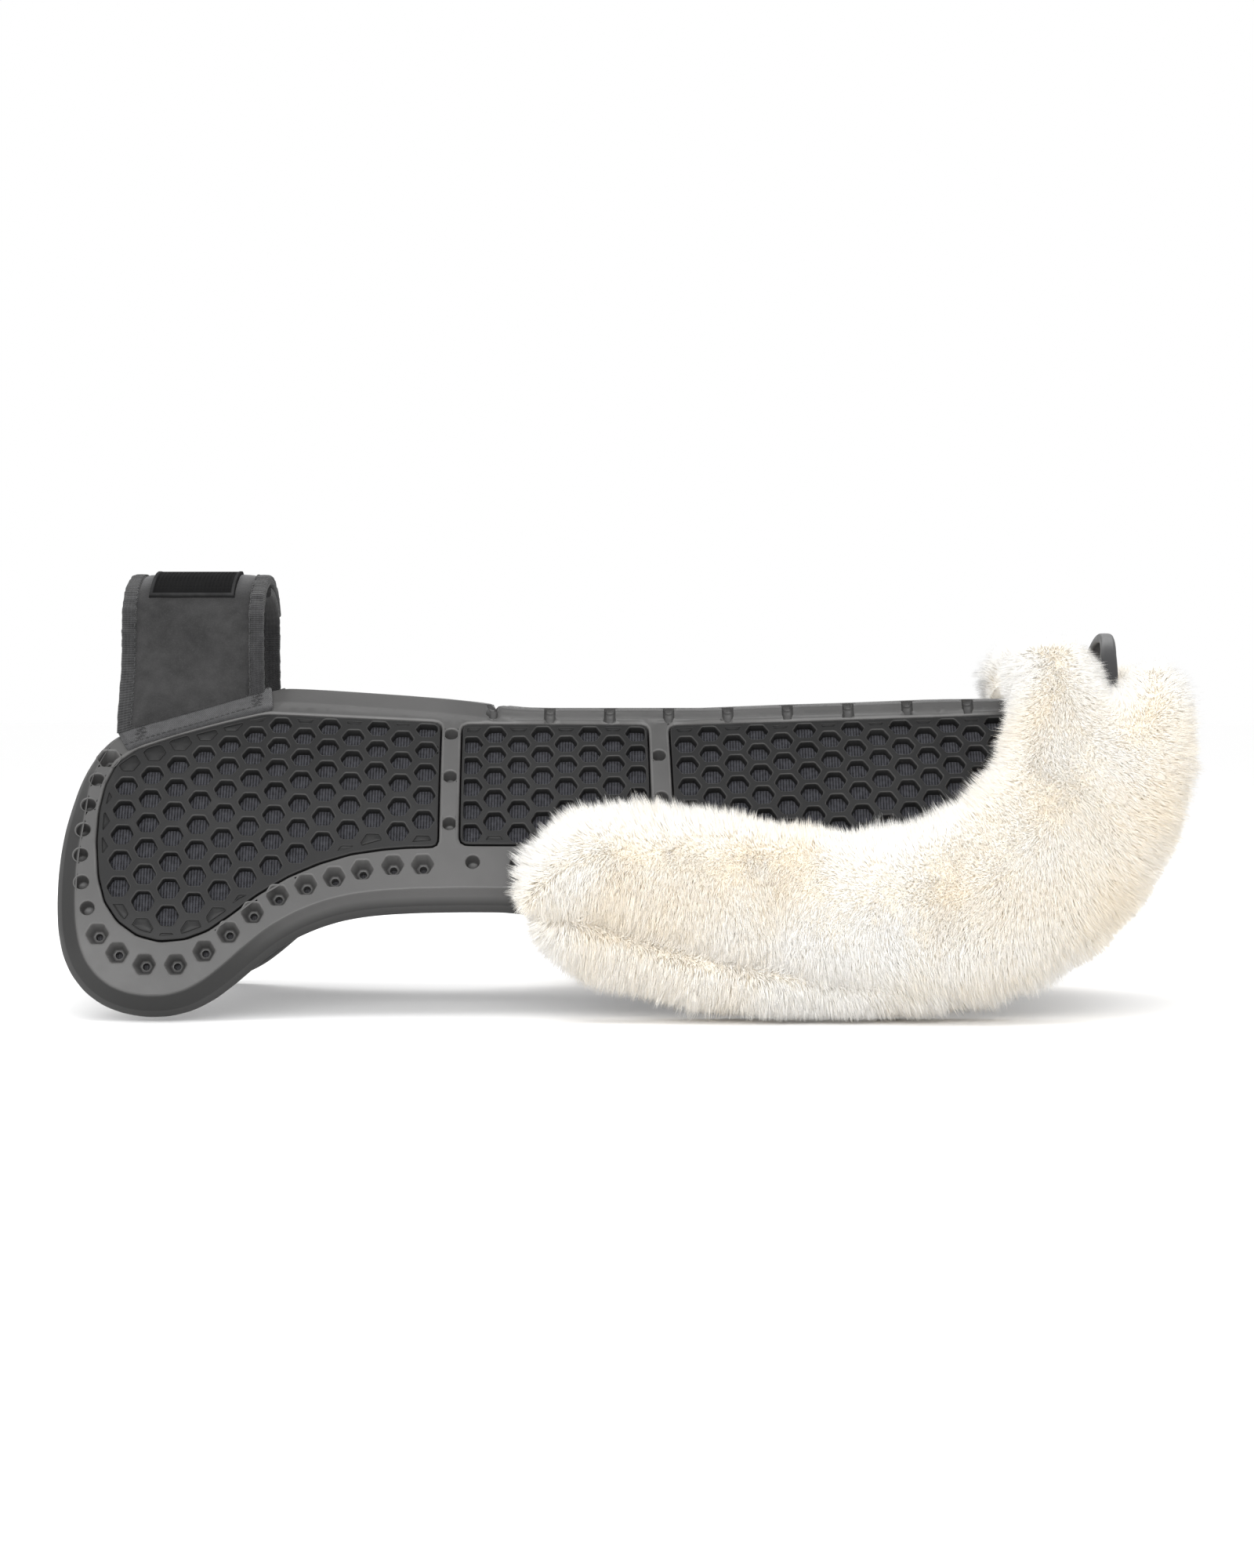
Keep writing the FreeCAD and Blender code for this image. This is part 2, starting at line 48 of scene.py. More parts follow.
# ------------------------------------------------------------ the CAD's sizes
SHIFT, TOP_Y, TOP_Z, BR = -2.95, 45.0, 158.5, 260.0
AT = math.radians(43.0)
YC, ZC = -TOP_Y + BR * math.sin(AT), TOP_Z - BR * math.cos(AT)
R_IN, INSERT_T, LINING_T = 248.0, 4.6, 2.0
PANEL = [
    (-264.5, 19.5), (-250.0, 13.5), (-235.0, 7.5), (-220.0, 1.5), (-205.0, -5.0), (-193.0, -10.5),
    (-184.0, -14.2), (-165.0, -13.2), (-144.0, -11.1), (-120.0, -8.6), (-98.7, -6.1), (-80.0, -3.2), (-68.0, -0.4),
    (-55.0, 1.4), (-41.0, 1.8), (0.0, 1.8), (41.0, 1.8), (82.0, -0.6), (123.0, -2.4),
    (164.5, -4.9), (200.0, -5.4), (235.0, -5.4), (252.0, -4.0), (262.0, 2.0), (268.5, 12.0), (271.0, 26.0),
    (271.0, 42.0), (268.0, 62.0), (261.0, 84.0), (250.0, 104.0), (234.0, 122.0), (213.0, 137.0),
    (188.0, 148.0), (160.0, 155.0), (130.0, 158.5), (100.0, 159.5), (70.0, 158.5), (42.0, 155.0), (16.0, 149.0),
    (-6.0, 141.0), (-26.0, 131.5), (-44.0, 125.0), (-62.0, 122.8), (-83.0, 122.7), (-105.0, 123.1), (-121.5, 124.0),
    (-132.6, 125.2), (-144.0, 127.4), (-155.0, 131.0), (-165.5, 135.8), (-176.0, 142.4), (-186.5, 151.4),
    (-197.0, 161.0), (-207.0, 169.0), (-218.0, 175.0), (-230.0, 178.1), (-242.0, 178.4), (-253.5, 176.4),
    (-264.0, 172.2), (-273.0, 165.4), (-280.2, 156.2), (-285.0, 145.2), (-287.7, 132.0), (-288.8, 118.0),
    (-289.1, 103.0), (-288.6, 89.0), (-287.3, 75.5), (-285.3, 63.5), (-282.6, 52.5), (-279.2, 41.5),
    (-275.0, 31.5), (-270.0, 23.8)]
INSERTS = {
    "front": [
        (-186.6, 6.5), (-99.6, 12.3), (-97.6, 13.3), (-97.0, 15.6), (-96.3, 86.6), (-96.9, 88.8), (-98.9, 89.6),
        (-112.0, 90.0), (-123.6, 91.0), (-139.9, 93.6), (-155.9, 98.8), (-171.5, 106.0), (-187.3, 116.1),
        (-200.0, 126.4), (-211.1, 134.5), (-222.0, 138.8), (-234.9, 140.0), (-246.1, 137.0), (-256.2, 129.7),
        (-263.1, 119.4), (-267.0, 106.0), (-269.1, 86.6), (-269.2, 70.0), (-267.1, 53.5), (-262.5, 40.0),
        (-253.2, 31.2), (-234.1, 22.3), (-210.1, 13.3), (-196.0, 8.6), (-190.5, 7.0)],
    "middle": [
        (-83.0, 13.8), (8.0, 14.3), (9.9, 15.2), (10.5, 17.2), (12.2, 86.4), (11.5, 88.3), (9.6, 89.0),
        (-82.0, 88.5), (-84.0, 87.7), (-84.8, 85.8), (-85.4, 16.4), (-84.8, 14.5)],
    "rear": [
        (24.4, 14.6), (110.0, 11.0), (200.0, 6.8), (228.0, 7.2), (243.0, 11.5), (251.0, 22.0), (253.0, 36.0), (250.0, 56.0),
        (242.0, 78.0), (227.0, 99.0), (204.0, 115.0), (174.0, 126.0), (140.0, 130.5), (105.0, 130.0), (72.0, 124.5),
        (44.0, 115.0), (30.0, 107.5), (26.6, 104.4), (25.6, 100.5), (22.4, 17.4), (22.8, 15.5)],
}
LATTICE = {
    "front": ((-180.2, 14.2), (12.722, 7.67), (-0.031, 14.364)),
    "middle": ((-55.8, 41.2), (12.328, 6.679), (0.209, 13.657)),
    "rear": ((179.9, 20.1), (12.84, 6.181), (0.777, 13.609)),
}
HEX_POCKETS = [
    (-267.3, 37.0), (-266.2, 136.6), (-255.9, 146.2), (-242.0, 152.2), (-226.3, 152.2), (-212.3, 145.4),
    (-200.4, 135.8), (-188.6, 125.6), (-176.3, 116.5), (-162.2, 110.7), (-148.1, 106.5), (-134.0, 102.6),
    (-118.6, 100.1), (-103.5, 99.7)]
ROUND_POCKETS = [
    (-272.1, 50.5), (-275.1, 65.8), (-276.7, 80.4), (-276.9, 94.5), (-275.5, 109.4), (-271.9, 123.1),
    (-91.2, 20.6), (-91.0, 48.5), (-90.6, 76.8), (16.4, 35.0), (17.6, 61.6), (-78.2, 98.4), (-55.6, 99.4)]
NOTCHES = [-70.5, -40.2, -9.0, 21.7, 52.5, 83.7, 115.4, 146.3, 178.0, 209.0]
SX0, SX1, BW = -264.6, -190.2, 8.2          # withers strap and its binding
SH_Z, SH_R, HINGE_Z = 198.0, 24.0, 195.5
FLAP_D, STRAP_T = 6.2, 4.0


# ------------------------------------------------------------------- helpers
def S(x, s, r):
    x, s, r = np.broadcast_arrays(np.asarray(x, float), np.asarray(s, float), np.asarray(r, float))
    a = AT + s / BR
    return np.stack([x + SHIFT, YC - r * np.sin(a), ZC + r * np.cos(a)], -1)


def step01(a, b, x):
    t = np.clip((np.asarray(x, float) - a) / (b - a), 0, 1)
    return t * t * (3 - 2 * t)


def build(name, V, polys, side="left", mats=(), uv=None, attrs=None, sharp=None, recalc=False, midx=None, smooth=True):
    """V in mm; polys is a list of (n,3) and (n,4) index arrays. The right side is the left one mirrored."""
    V = np.array(V, float) * 0.001
    flip = side == "right"
    if flip:
        V[:, 1] *= -1
    me = bpy.data.meshes.new(name)
    polys = [np.asarray(p, np.int64) for p in polys if len(p)]
    if flip:
        polys = [p[:, ::-1] for p in polys]
    loops = np.concatenate([p.ravel() for p in polys]).astype(np.int32)
    sizes = np.concatenate([np.full(len(p), p.shape[1]) for p in polys])
    starts = np.concatenate([[0], np.cumsum(sizes)[:-1]]).astype(np.int32)
    me.vertices.add(len(V))
    me.vertices.foreach_set("co", V.astype(np.float32).ravel())
    me.loops.add(len(loops))
    me.loops.foreach_set("vertex_index", loops)
    me.polygons.add(len(sizes))
    me.polygons.foreach_set("loop_start", starts)
    me.update(calc_edges=True)
    if uv is not None:
        layer = me.uv_layers.new(name="OFBake")
        layer.data.foreach_set("uv", np.asarray(uv, np.float32)[loops].ravel())
    for key, val in (attrs or {}).items():
        at = me.attributes.new(key, "FLOAT", "POINT")
        at.data.foreach_set("value", np.asarray(val, np.float32))
    me.polygons.foreach_set("use_smooth", np.full(len(sizes), smooth))
    if midx is not None:
        me.polygons.foreach_set("material_index", np.asarray(midx, np.int32))
    for m in mats:
        me.materials.append(m)
    if recalc:
        bm = bmesh.new()
        bm.from_mesh(me)
        bmesh.ops.recalc_face_normals(bm, faces=bm.faces)
        bm.to_mesh(me)
        bm.free()
    if sharp is not None:
        me.set_sharp_from_angle(angle=math.radians(sharp))
    ob = bpy.data.objects.new(name, me)
    bpy.context.scene.collection.objects.link(ob)
    return ob


def resample(poly, step):
    P = np.asarray(poly, float)
    Q = np.vstack([P, P[:1]])
    L = np.concatenate([[0], np.cumsum(np.hypot(*np.diff(Q, axis=0).T))])
    n = max(8, int(round(L[-1] / step)))
    t = np.linspace(0, L[-1], n, endpoint=False)
    return np.c_[np.interp(t, L, Q[:, 0]), np.interp(t, L, Q[:, 1])]


def smooth_closed(poly, step, sigma):
    P = resample(poly, step)
    k = int(max(1, round(3 * sigma / step)))
    w = np.exp(-0.5 * (np.arange(-k, k + 1) * step / sigma) ** 2)
    w /= w.sum()
    out = sum(w[i] * np.roll(P, i - k, axis=0) for i in range(2 * k + 1))
    return ccw(out)


def ccw(P):
    a = np.sum(P[:, 0] * np.roll(P[:, 1], -1) - np.roll(P[:, 0], -1) * P[:, 1])
    return P if a > 0 else P[::-1].copy()


def inward(P):
    t = np.roll(P, -1, 0) - np.roll(P, 1, 0)
    t /= np.maximum(np.hypot(t[:, 0], t[:, 1]), 1e-9)[:, None]
    return np.c_[-t[:, 1], t[:, 0]]


def off(P, d):
    return P + inward(P) * (np.asarray(d, float)[:, None] if np.ndim(d) else d)


def inside(Q, poly):
    Q = np.asarray(Q, float)
    hit = np.zeros(len(Q), bool)
    A, B = poly, np.roll(poly, -1, 0)
    for (x1, y1), (x2, y2) in zip(A, B):
        if y1 == y2:
            continue
        c = (y1 > Q[:, 1]) != (y2 > Q[:, 1])
        hit ^= c & (Q[:, 0] < (x2 - x1) * (Q[:, 1] - y1) / (y2 - y1) + x1)
    return hit


def dist(Q, poly, chunk=4000):
    Q = np.asarray(Q, float)
    A, B = poly, np.roll(poly, -1, 0)
    D = B - A
    LL = (D ** 2).sum(1)
    out = np.empty(len(Q))
    for i in range(0, len(Q), chunk):
        q = Q[i:i + chunk]
        w = q[:, None] - A[None]
        u = np.clip((w * D[None]).sum(2) / LL, 0, 1)
        e = w - u[..., None] * D[None]
        out[i:i + chunk] = np.sqrt((e ** 2).sum(2).min(1))
    return out


def fill(loops, extra, keep):
    """Triangles between closed loops and loose points, as indices into the stacked points."""
    pts = np.vstack(list(loops) + ([extra] if len(extra) else []))
    edges, o = [], 0
    for L in loops:
        n = len(L)
        edges += [(o + i, o + (i + 1) % n) for i in range(n)]
        o += n
    res = geometry.delaunay_2d_cdt([Vector(p) for p in pts.tolist()], edges, [], 0, 1e-7)
    back = np.array([v[0] if v else -1 for v in res[3]])
    tri = back[np.array([f for f in res[2] if len(f) == 3], int)]
    tri = tri[(tri >= 0).all(1)]
    return tri[keep(pts[tri].mean(1))], pts


def grid_points(poly, dx, ds, margin):
    lo, hi = poly.min(0), poly.max(0)
    gx, gs = np.arange(lo[0], hi[0], dx), np.arange(lo[1], hi[1], ds)
    X, Y = np.meshgrid(gx, gs)
    X = X + (np.arange(len(gs)) % 2)[:, None] * dx / 2
    Q = np.c_[X.ravel(), Y.ravel()]
    Q = Q[inside(Q, poly)]
    return Q[dist(Q, poly) > margin]


def plate(name, outer, holes, rtop, rbot, side, mats, extra_top=None, grid=(9.0, 5.0), sharp=40.0, full=12.0):
    """outer: rings [(points, depth)] from the top face to the bottom one. holes: dicts of rings, through or with a floor."""
    V, U, W, tris, quads = [], [], [], [], []
    count = [0]

    def put(P, depth, w=0.0):
        rt = rtop(P[:, 0], P[:, 1])
        r = rt - depth * (rt - rbot) / full
        V.append(S(P[:, 0], P[:, 1], r))
        U.append(P)
        W.append(np.full(len(P), w))
        i = count[0]
        count[0] += len(P)
        return np.arange(i, i + len(P))

    def ring_quads(a, b):
        quads.append(np.c_[a, np.roll(a, -1), np.roll(b, -1), b])

    def chain(rings):
        ids = [put(P, d, w) for P, d, w in rings]
        for a, b in zip(ids, ids[1:]):
            ring_quads(a, b)
        return ids

    # a thin flat ring round every opening and inside the rim keeps the face's shading flat up to its lips
    outer = [(off(outer[0][0], 0.09), 0.0, 0.0)] + [(P, d, w) for P, d, w in outer]
    holes = [dict(h, rings=[(off(ccw(h["rings"][0][0]), -0.09), 0.0, 0.0)] + [(ccw(P), d, w) for P, d, w in h["rings"]]) for h in holes]
    ids_outer = chain(outer)
    tops, bots = [(outer[0][0], ids_outer[0])], [(outer[-1][0], ids_outer[-1])]
    for h in holes:
        ids = chain(h["rings"])
        tops.append((h["rings"][0][0], ids[0]))
        if h.get("through", True):
            bots.append((h["rings"][-1][0], ids[-1]))
        else:
            P, d, w = h["rings"][-1]
            c = put(P.mean(0)[None], d, w)
            tris.append(np.c_[ids[-1], np.roll(ids[-1], -1), np.full(len(P), c[0])])
    for which, depth in ((tops, 0.0), (bots, full)):
        loops = [p for p, _ in which]
        ext = grid_points(loops[0], grid[0], grid[1], 1.6)
        if depth == 0.0 and extra_top is not None:
            ext = np.vstack([ext, extra_top])
        ok = np.ones(len(ext), bool)
        for L in loops[1:]:
            lo, hi = L.min(0) - 1.2, L.max(0) + 1.2
            near = np.nonzero(((ext > lo) & (ext < hi)).all(1))[0]
            if len(near):
                bad = inside(ext[near], L) | (dist(ext[near], L) < 1.0)
                ok[near[bad]] = False
        ext = ext[ok]

        def keep(C, loops=loops):
            k = inside(C, loops[0])
            for L in loops[1:]:
                lo, hi = L.min(0), L.max(0)
                near = np.nonzero(((C > lo) & (C < hi)).all(1))[0]
                if len(near):
                    k[near[inside(C[near], L)]] = False
            return k

        tri, pts = fill(loops, ext, keep)
        ids = np.concatenate([i for _, i in which] + [put(ext, depth)]) if len(ext) else np.concatenate([i for _, i in which])
        tris.append(ids[tri])
    V, U = np.vstack(V), np.vstack(U)
    uv = np.c_[(U[:, 0] + 300) / 620, (U[:, 1] + 30) / 620]
    return build(name, V, [np.vstack(tris), np.vstack(quads)], side, mats, uv=uv, attrs={"wear_and_painted_light": np.concatenate(W)}, sharp=sharp, recalc=True)


def hexring(c, rad, tilt=0.0, rnd=0.955):
    ang = np.concatenate([np.array([0.0, 7.0, 30.0, 53.0]) + 60 * k for k in range(6)])
    ph = ((ang + 30) % 60) - 30
    rr = np.minimum(rad * math.cos(math.radians(30)) / np.cos(np.radians(30 - np.abs(ph))), rad * rnd)
    th = np.radians(ang + tilt)
    return np.c_[c[0] + rr * np.cos(th), c[1] + rr * np.sin(th)]


def circring(c, rad, n=24):
    th = np.radians(np.arange(n) * 360 / n)
    return np.c_[c[0] + rad * np.cos(th), c[1] + rad * np.sin(th)]


# ----------------------------------------------------------------- materials
def node_mat(name):
    m = bpy.data.materials.new(name)
    m.use_nodes = True
    nt = m.node_tree
    nt.nodes.clear()
    out = nt.nodes.new("ShaderNodeOutputMaterial")
    bs = nt.nodes.new("ShaderNodeBsdfPrincipled")
    nt.links.new(bs.outputs[0], out.inputs[0])
    return m, nt, bs


def N(nt, kind, **kw):
    n = nt.nodes.new(kind)
    for k, v in kw.items():
        if k in n.inputs:
            n.inputs[k].default_value = v
        else:
            setattr(n, k, v)
    return n


def ramp(nt, src, stops):
    r = nt.nodes.new("ShaderNodeValToRGB")
    e = r.color_ramp.elements
    while len(e) < len(stops):
        e.new(0.5)
    for i, (p, c) in enumerate(stops):
        e[i].position = p
        e[i].color = (*c, 1) if len(c) == 3 else c
    nt.links.new(src, r.inputs[0])
    return r.outputs[0]


def mixc(nt, fac, a, b, blend="MIX"):
    n = nt.nodes.new("ShaderNodeMix")
    n.data_type = "RGBA"
    n.blend_type = blend
    for sock, v in ((n.inputs[0], fac), (n.inputs[6], a), (n.inputs[7], b)):
        if hasattr(v, "is_output"):
            nt.links.new(v, sock)
        elif isinstance(v, (int, float)):
            sock.default_value = v
        else:
            sock.default_value = (*v, 1)
    return n.outputs[2]


def math_node(nt, op, a, b=None, clamp=False):
    n = nt.nodes.new("ShaderNodeMath")
    n.operation = op
    n.use_clamp = clamp
    for sock, v in zip(n.inputs, (a, b)):
        if v is None:
            continue
        if hasattr(v, "is_output"):
            nt.links.new(v, sock)
        else:
            sock.default_value = v
    return n.outputs[0]


def mapping(nt, scale=(1, 1, 1), rot=(0, 0, 0), kind="Object"):
    tc = nt.nodes.new("ShaderNodeTexCoord")
    mp = nt.nodes.new("ShaderNodeMapping")
    mp.inputs["Scale"].default_value = scale
    mp.inputs["Rotation"].default_value = rot
    nt.links.new(tc.outputs[kind], mp.inputs[0])
    return mp.outputs[0]


def noise(nt, vec, scale, detail=3.0, rough=0.55):
    n = nt.nodes.new("ShaderNodeTexNoise")
    n.inputs["Scale"].default_value = scale
    n.inputs["Detail"].default_value = detail
    n.inputs["Roughness"].default_value = rough
    nt.links.new(vec, n.inputs["Vector"])
    return n.outputs[0]


def attr(nt, name):
    n = nt.nodes.new("ShaderNodeAttribute")
    n.attribute_name = name
    return n.outputs["Fac"]


def bump(nt, bs, height, strength, distance, after=None):
    b = nt.nodes.new("ShaderNodeBump")
    b.inputs["Strength"].default_value = strength
    b.inputs["Distance"].default_value = distance
    nt.links.new(height, b.inputs["Height"])
    if after is not None:
        nt.links.new(after, b.inputs["Normal"])
    nt.links.new(b.outputs[0], bs.inputs["Normal"])
    return b.outputs[0]


def rubber(name, dark, light, wear_and_highlight_colour, rough=(0.42, 0.6), grain=0.25, spec=0.33, ior=1.5):
    m, nt, bs = node_mat(name)
    v = mapping(nt)
    big, fine, mott = noise(nt, v, 14, 4), noise(nt, v, 900, 3, 0.6), noise(nt, v, 70, 5, 0.65)
    col = mixc(nt, ramp(nt, big, [(0.35, (0, 0, 0)), (0.68, (1, 1, 1))]), dark, light)
    col = mixc(nt, math_node(nt, "MULTIPLY", ramp(nt, mott, [(0.45, (0, 0, 0)), (0.75, (1, 1, 1))]), 0.35), col, light)
    # where the attribute is positive the rubber is mixed toward its lighter colour: wear on lips and rims, and a
    # painted highlight on the rear bridge's faces
    w = math_node(nt, "MULTIPLY", attr(nt, "wear_and_painted_light"), ramp(nt, mott, [(0.25, (0.35, 0.35, 0.35)), (0.6, (1, 1, 1))]))
    col = mixc(nt, w, col, wear_and_highlight_colour)
    # where the attribute is negative, shade is painted: the frame's bevel and outer edge are mixed toward a much darker
    # rubber
    col = mixc(nt, math_node(nt, "MULTIPLY", attr(nt, "wear_and_painted_light"), -1.0, clamp=True), col, tuple(0.34 * c for c in dark))
    nt.links.new(col, bs.inputs["Base Color"])
    nt.links.new(ramp(nt, mott, [(0.3, (rough[0],) * 3), (0.75, (rough[1],) * 3)]), bs.inputs["Roughness"])
    bs.inputs["Specular IOR Level"].default_value = spec
    bs.inputs["IOR"].default_value = ior
    b = bump(nt, bs, fine, grain, 0.00012)
    bump(nt, bs, mott, 0.12, 0.0006, b)
    return m


M_FRAME = rubber("moulded_rubber", (0.043, 0.0425, 0.042), (0.060, 0.059, 0.0585), (0.125, 0.123, 0.121), rough=(0.36, 0.5))
M_INSERT = rubber("insert_rubber", (0.006, 0.006, 0.0062), (0.011, 0.011, 0.0111), (0.06, 0.059, 0.058), rough=(0.36, 0.52), spec=0.2)
# its lighter colour paints a highlight on the bridge's front and back faces
M_BRIDGE = rubber("bridge_rubber", (0.022, 0.022, 0.023), (0.034, 0.034, 0.035), (0.07, 0.07, 0.07), rough=(0.32, 0.5))
M_BADGE = rubber("badge_rubber", (0.006, 0.006, 0.0062), (0.010, 0.010, 0.0102), (0.05, 0.05, 0.051), rough=(0.5, 0.65), spec=0.02, ior=1.2)


def knit(name, dark, light, rib_mm=1.5):
    """Ribbed knit: ribs run up the panel, with stitches across them."""
    m, nt, bs = node_mat(name)
    v = mapping(nt)
    sep = nt.nodes.new("ShaderNodeSeparateXYZ")
    nt.links.new(v, sep.inputs[0])
    k = 2 * math.pi / (rib_mm * 0.001)
    rib = math_node(nt, "SINE", math_node(nt, "MULTIPLY", sep.outputs[0], k))
    cross = math_node(nt, "SINE", math_node(nt, "MULTIPLY", math_node(nt, "ADD", sep.outputs[2], math_node(nt, "MULTIPLY", rib, 0.0002)), k * 1.7))
    h = math_node(nt, "ADD", rib, math_node(nt, "MULTIPLY", cross, 0.5))
    n1 = noise(nt, v, 500, 3)
    f = math_node(nt, "ADD", math_node(nt, "MULTIPLY", h, 0.3), n1, clamp=True)
    nt.links.new(mixc(nt, f, dark, light), bs.inputs["Base Color"])
    bs.inputs["Roughness"].default_value = 0.85
    bs.inputs["Sheen Weight"].default_value = 0.04
    bs.inputs["Specular IOR Level"].default_value = 0.12
    bs.inputs["Sheen Roughness"].default_value = 0.5
    bump(nt, bs, h, 0.6, 0.0004)
    return m


M_KNIT = knit("spacer_knit", (0.003, 0.003, 0.0036), (0.062, 0.063, 0.072))
M_LINING = knit("lining_knit", (0.028, 0.028, 0.031), (0.07, 0.07, 0.075), 1.1)


def suede(name, dark, light):
    m, nt, bs = node_mat(name)
    v = mapping(nt)
    a, b, c = noise(nt, v, 38, 5, 0.62), noise(nt, v, 160, 4, 0.6), noise(nt, v, 1400, 2, 0.6)
    f = math_node(nt, "ADD", math_node(nt, "MULTIPLY", a, 0.65), math_node(nt, "MULTIPLY", b, 0.35))
    col = mixc(nt, ramp(nt, f, [(0.38, (0, 0, 0)), (0.64, (1, 1, 1))]), dark, light)
    col = mixc(nt, math_node(nt, "MULTIPLY", ramp(nt, c, [(0.5, (0, 0, 0)), (0.8, (1, 1, 1))]), 0.35), col, tuple(x * 1.9 for x in light))
    nt.links.new(col, bs.inputs["Base Color"])
    bs.inputs["Roughness"].default_value = 0.9
    bs.inputs["Sheen Weight"].default_value = 0.22
    bs.inputs["Sheen Roughness"].default_value = 0.4
    bs.inputs["Sheen Tint"].default_value = (0.8, 0.8, 0.82, 1)
    q = bump(nt, bs, c, 0.5, 0.0003)
    bump(nt, bs, b, 0.25, 0.0008, q)
    return m


M_SUEDE = suede("strap_suede", (0.0045, 0.0044, 0.0046), (0.0195, 0.0192, 0.0195))


def ribbon(name, dark, light, pitch_mm, slant=0.0):
    """Woven tape: ribs across its length, read from the piece's own length and width in mm."""
    m, nt, bs = node_mat(name)
    along, across = attr(nt, "along"), attr(nt, "across")
    p = math_node(nt, "ADD", along, math_node(nt, "MULTIPLY", across, slant))
    rib = math_node(nt, "SINE", math_node(nt, "MULTIPLY", p, 2 * math.pi / pitch_mm))
    yarn = math_node(nt, "SINE", math_node(nt, "MULTIPLY", across, 2 * math.pi / (pitch_mm * 0.8)))
    h = math_node(nt, "ADD", rib, math_node(nt, "MULTIPLY", yarn, 0.35))
    v = mapping(nt)
    n1 = noise(nt, v, 300, 4)
    f = math_node(nt, "ADD", math_node(nt, "MULTIPLY", h, 0.28), n1, clamp=True)
    nt.links.new(mixc(nt, f, dark, light), bs.inputs["Base Color"])
    bs.inputs["Roughness"].default_value = 0.75
    bs.inputs["Specular IOR Level"].default_value = 0.3
    bs.inputs["Sheen Weight"].default_value = 0.12
    bump(nt, bs, h, 0.7, 0.00035)
    return m


M_BIND = ribbon("grosgrain_binding", (0.0035, 0.0035, 0.0037), (0.036, 0.036, 0.0375), 1.0)
M_TWILL = ribbon("twill_tape", (0.018, 0.018, 0.019), (0.075, 0.075, 0.078), 1.0, 1.0)
M_THREAD = ribbon("thread", (0.012, 0.012, 0.012), (0.05, 0.05, 0.052), 0.6, 1.2)
M_HOOK = suede("hook_and_loop", (0.012, 0.012, 0.0125), (0.035, 0.035, 0.036))


def fleece_body():
    m, nt, bs = node_mat("fleece_undercoat")
    v = mapping(nt)
    a, b = noise(nt, v, 24, 4, 0.6), noise(nt, v, 420, 4, 0.65)
    col = mixc(nt, ramp(nt, a, [(0.35, (0, 0, 0)), (0.65, (1, 1, 1))]), (0.922, 0.849, 0.724), (0.936, 0.897, 0.82))
    col = mixc(nt, math_node(nt, "MULTIPLY", ramp(nt, b, [(0.3, (1, 1, 1)), (0.6, (0, 0, 0))]), 0.2), col, (0.897, 0.84, 0.733))
    nt.links.new(col, bs.inputs["Base Color"])
    bs.inputs["Roughness"].default_value = 0.9
    bs.inputs["Sheen Weight"].default_value = 0.2
    bump(nt, bs, b, 0.6, 0.002)
    return m


def fleece_pile():
    """Colour from the strand's own map: u is its tint, v runs from root to tip."""
    m, nt, bs = node_mat("fleece_pile")
    uvn = nt.nodes.new("ShaderNodeUVMap")
    uvn.uv_map = "OFBake"
    sep = nt.nodes.new("ShaderNodeSeparateXYZ")
    nt.links.new(uvn.outputs[0], sep.inputs[0])
    tip = ramp(nt, sep.outputs[0], [(0.0, (0.941, 0.859, 0.724)), (0.3, (0.946, 0.893, 0.801)), (0.6, (0.951, 0.922, 0.868)), (1.0, (0.955, 0.946, 0.926))])
    root = ramp(nt, sep.outputs[0], [(0.0, (0.922, 0.83, 0.675)), (0.6, (0.931, 0.878, 0.772)), (1.0, (0.941, 0.917, 0.868))])
    f = ramp(nt, sep.outputs[1], [(0.1, (0, 0, 0)), (0.6, (1, 1, 1))])
    nt.links.new(mixc(nt, f, root, tip), bs.inputs["Base Color"])
    bs.inputs["Roughness"].default_value = 0.7
    bs.inputs["Specular IOR Level"].default_value = 0.2
    bs.inputs["Sheen Weight"].default_value = 0.15
    return m


M_FBODY, M_FPILE = fleece_body(), fleece_pile()

# -------------------------------------------------------------------- camera
cam_data = bpy.data.cameras.new("camera")
cam_data.lens = 4142.0 / 2000 * 36
cam_data.sensor_width = 36
cam_data.clip_start, cam_data.clip_end = 0.05, 30
cam = bpy.data.objects.new("camera", cam_data)
cam.location = (SHIFT * 0.001, -1.745, 0.1585)
cam.rotation_euler = (math.radians(90 - 1.383), 0, 0)
bpy.context.scene.collection.objects.link(cam)
bpy.context.scene.camera = cam

# -------------------------------------------------------- frames and inserts
P_PANEL = smooth_closed(PANEL, 2.6, 3.2)
TOPX = np.array([p for p in PANEL[:24]])


def s_top(x):
    return np.interp(x, TOPX[:, 0], TOPX[:, 1])


def frame_top(x, s):
    """Radius of the frame's outer face: raised rim along the top, notches in it."""
    q = s - s_top(x)
    bead = 1.7 * (1 - step01(9.3, 11.2, q)) * step01(-1.0, 2.2, q) + 0.45 * np.exp(-((q - 4.6) / 1.3) ** 2)
    h = bead * step01(-68, -66.2, x)
    h = h + 1.0 * (1 - step01(-72.5, -71, x)) * step01(-186, -176, x) * (1 - step01(12.5, 14.2, q)) * step01(-1.5, 2.0, q)
    for xn in NOTCHES:
        u = np.abs(x - xn)
        end = 10.6 - 0.34 * np.maximum(u - 0.5, 0) ** 2
        top = -9.0 if xn < -70 else 2.4
        wall = (1 - step01(2.35, 2.85, u)) * (1 - step01(end - 0.5, end + 0.5, q)) * step01(top - 0.35, top + 0.35, q)
        h = h - wall * (1.2 + 2.3 * np.sqrt(np.maximum(1 - (u / 3.0) ** 2, 0)))
    return BR + h


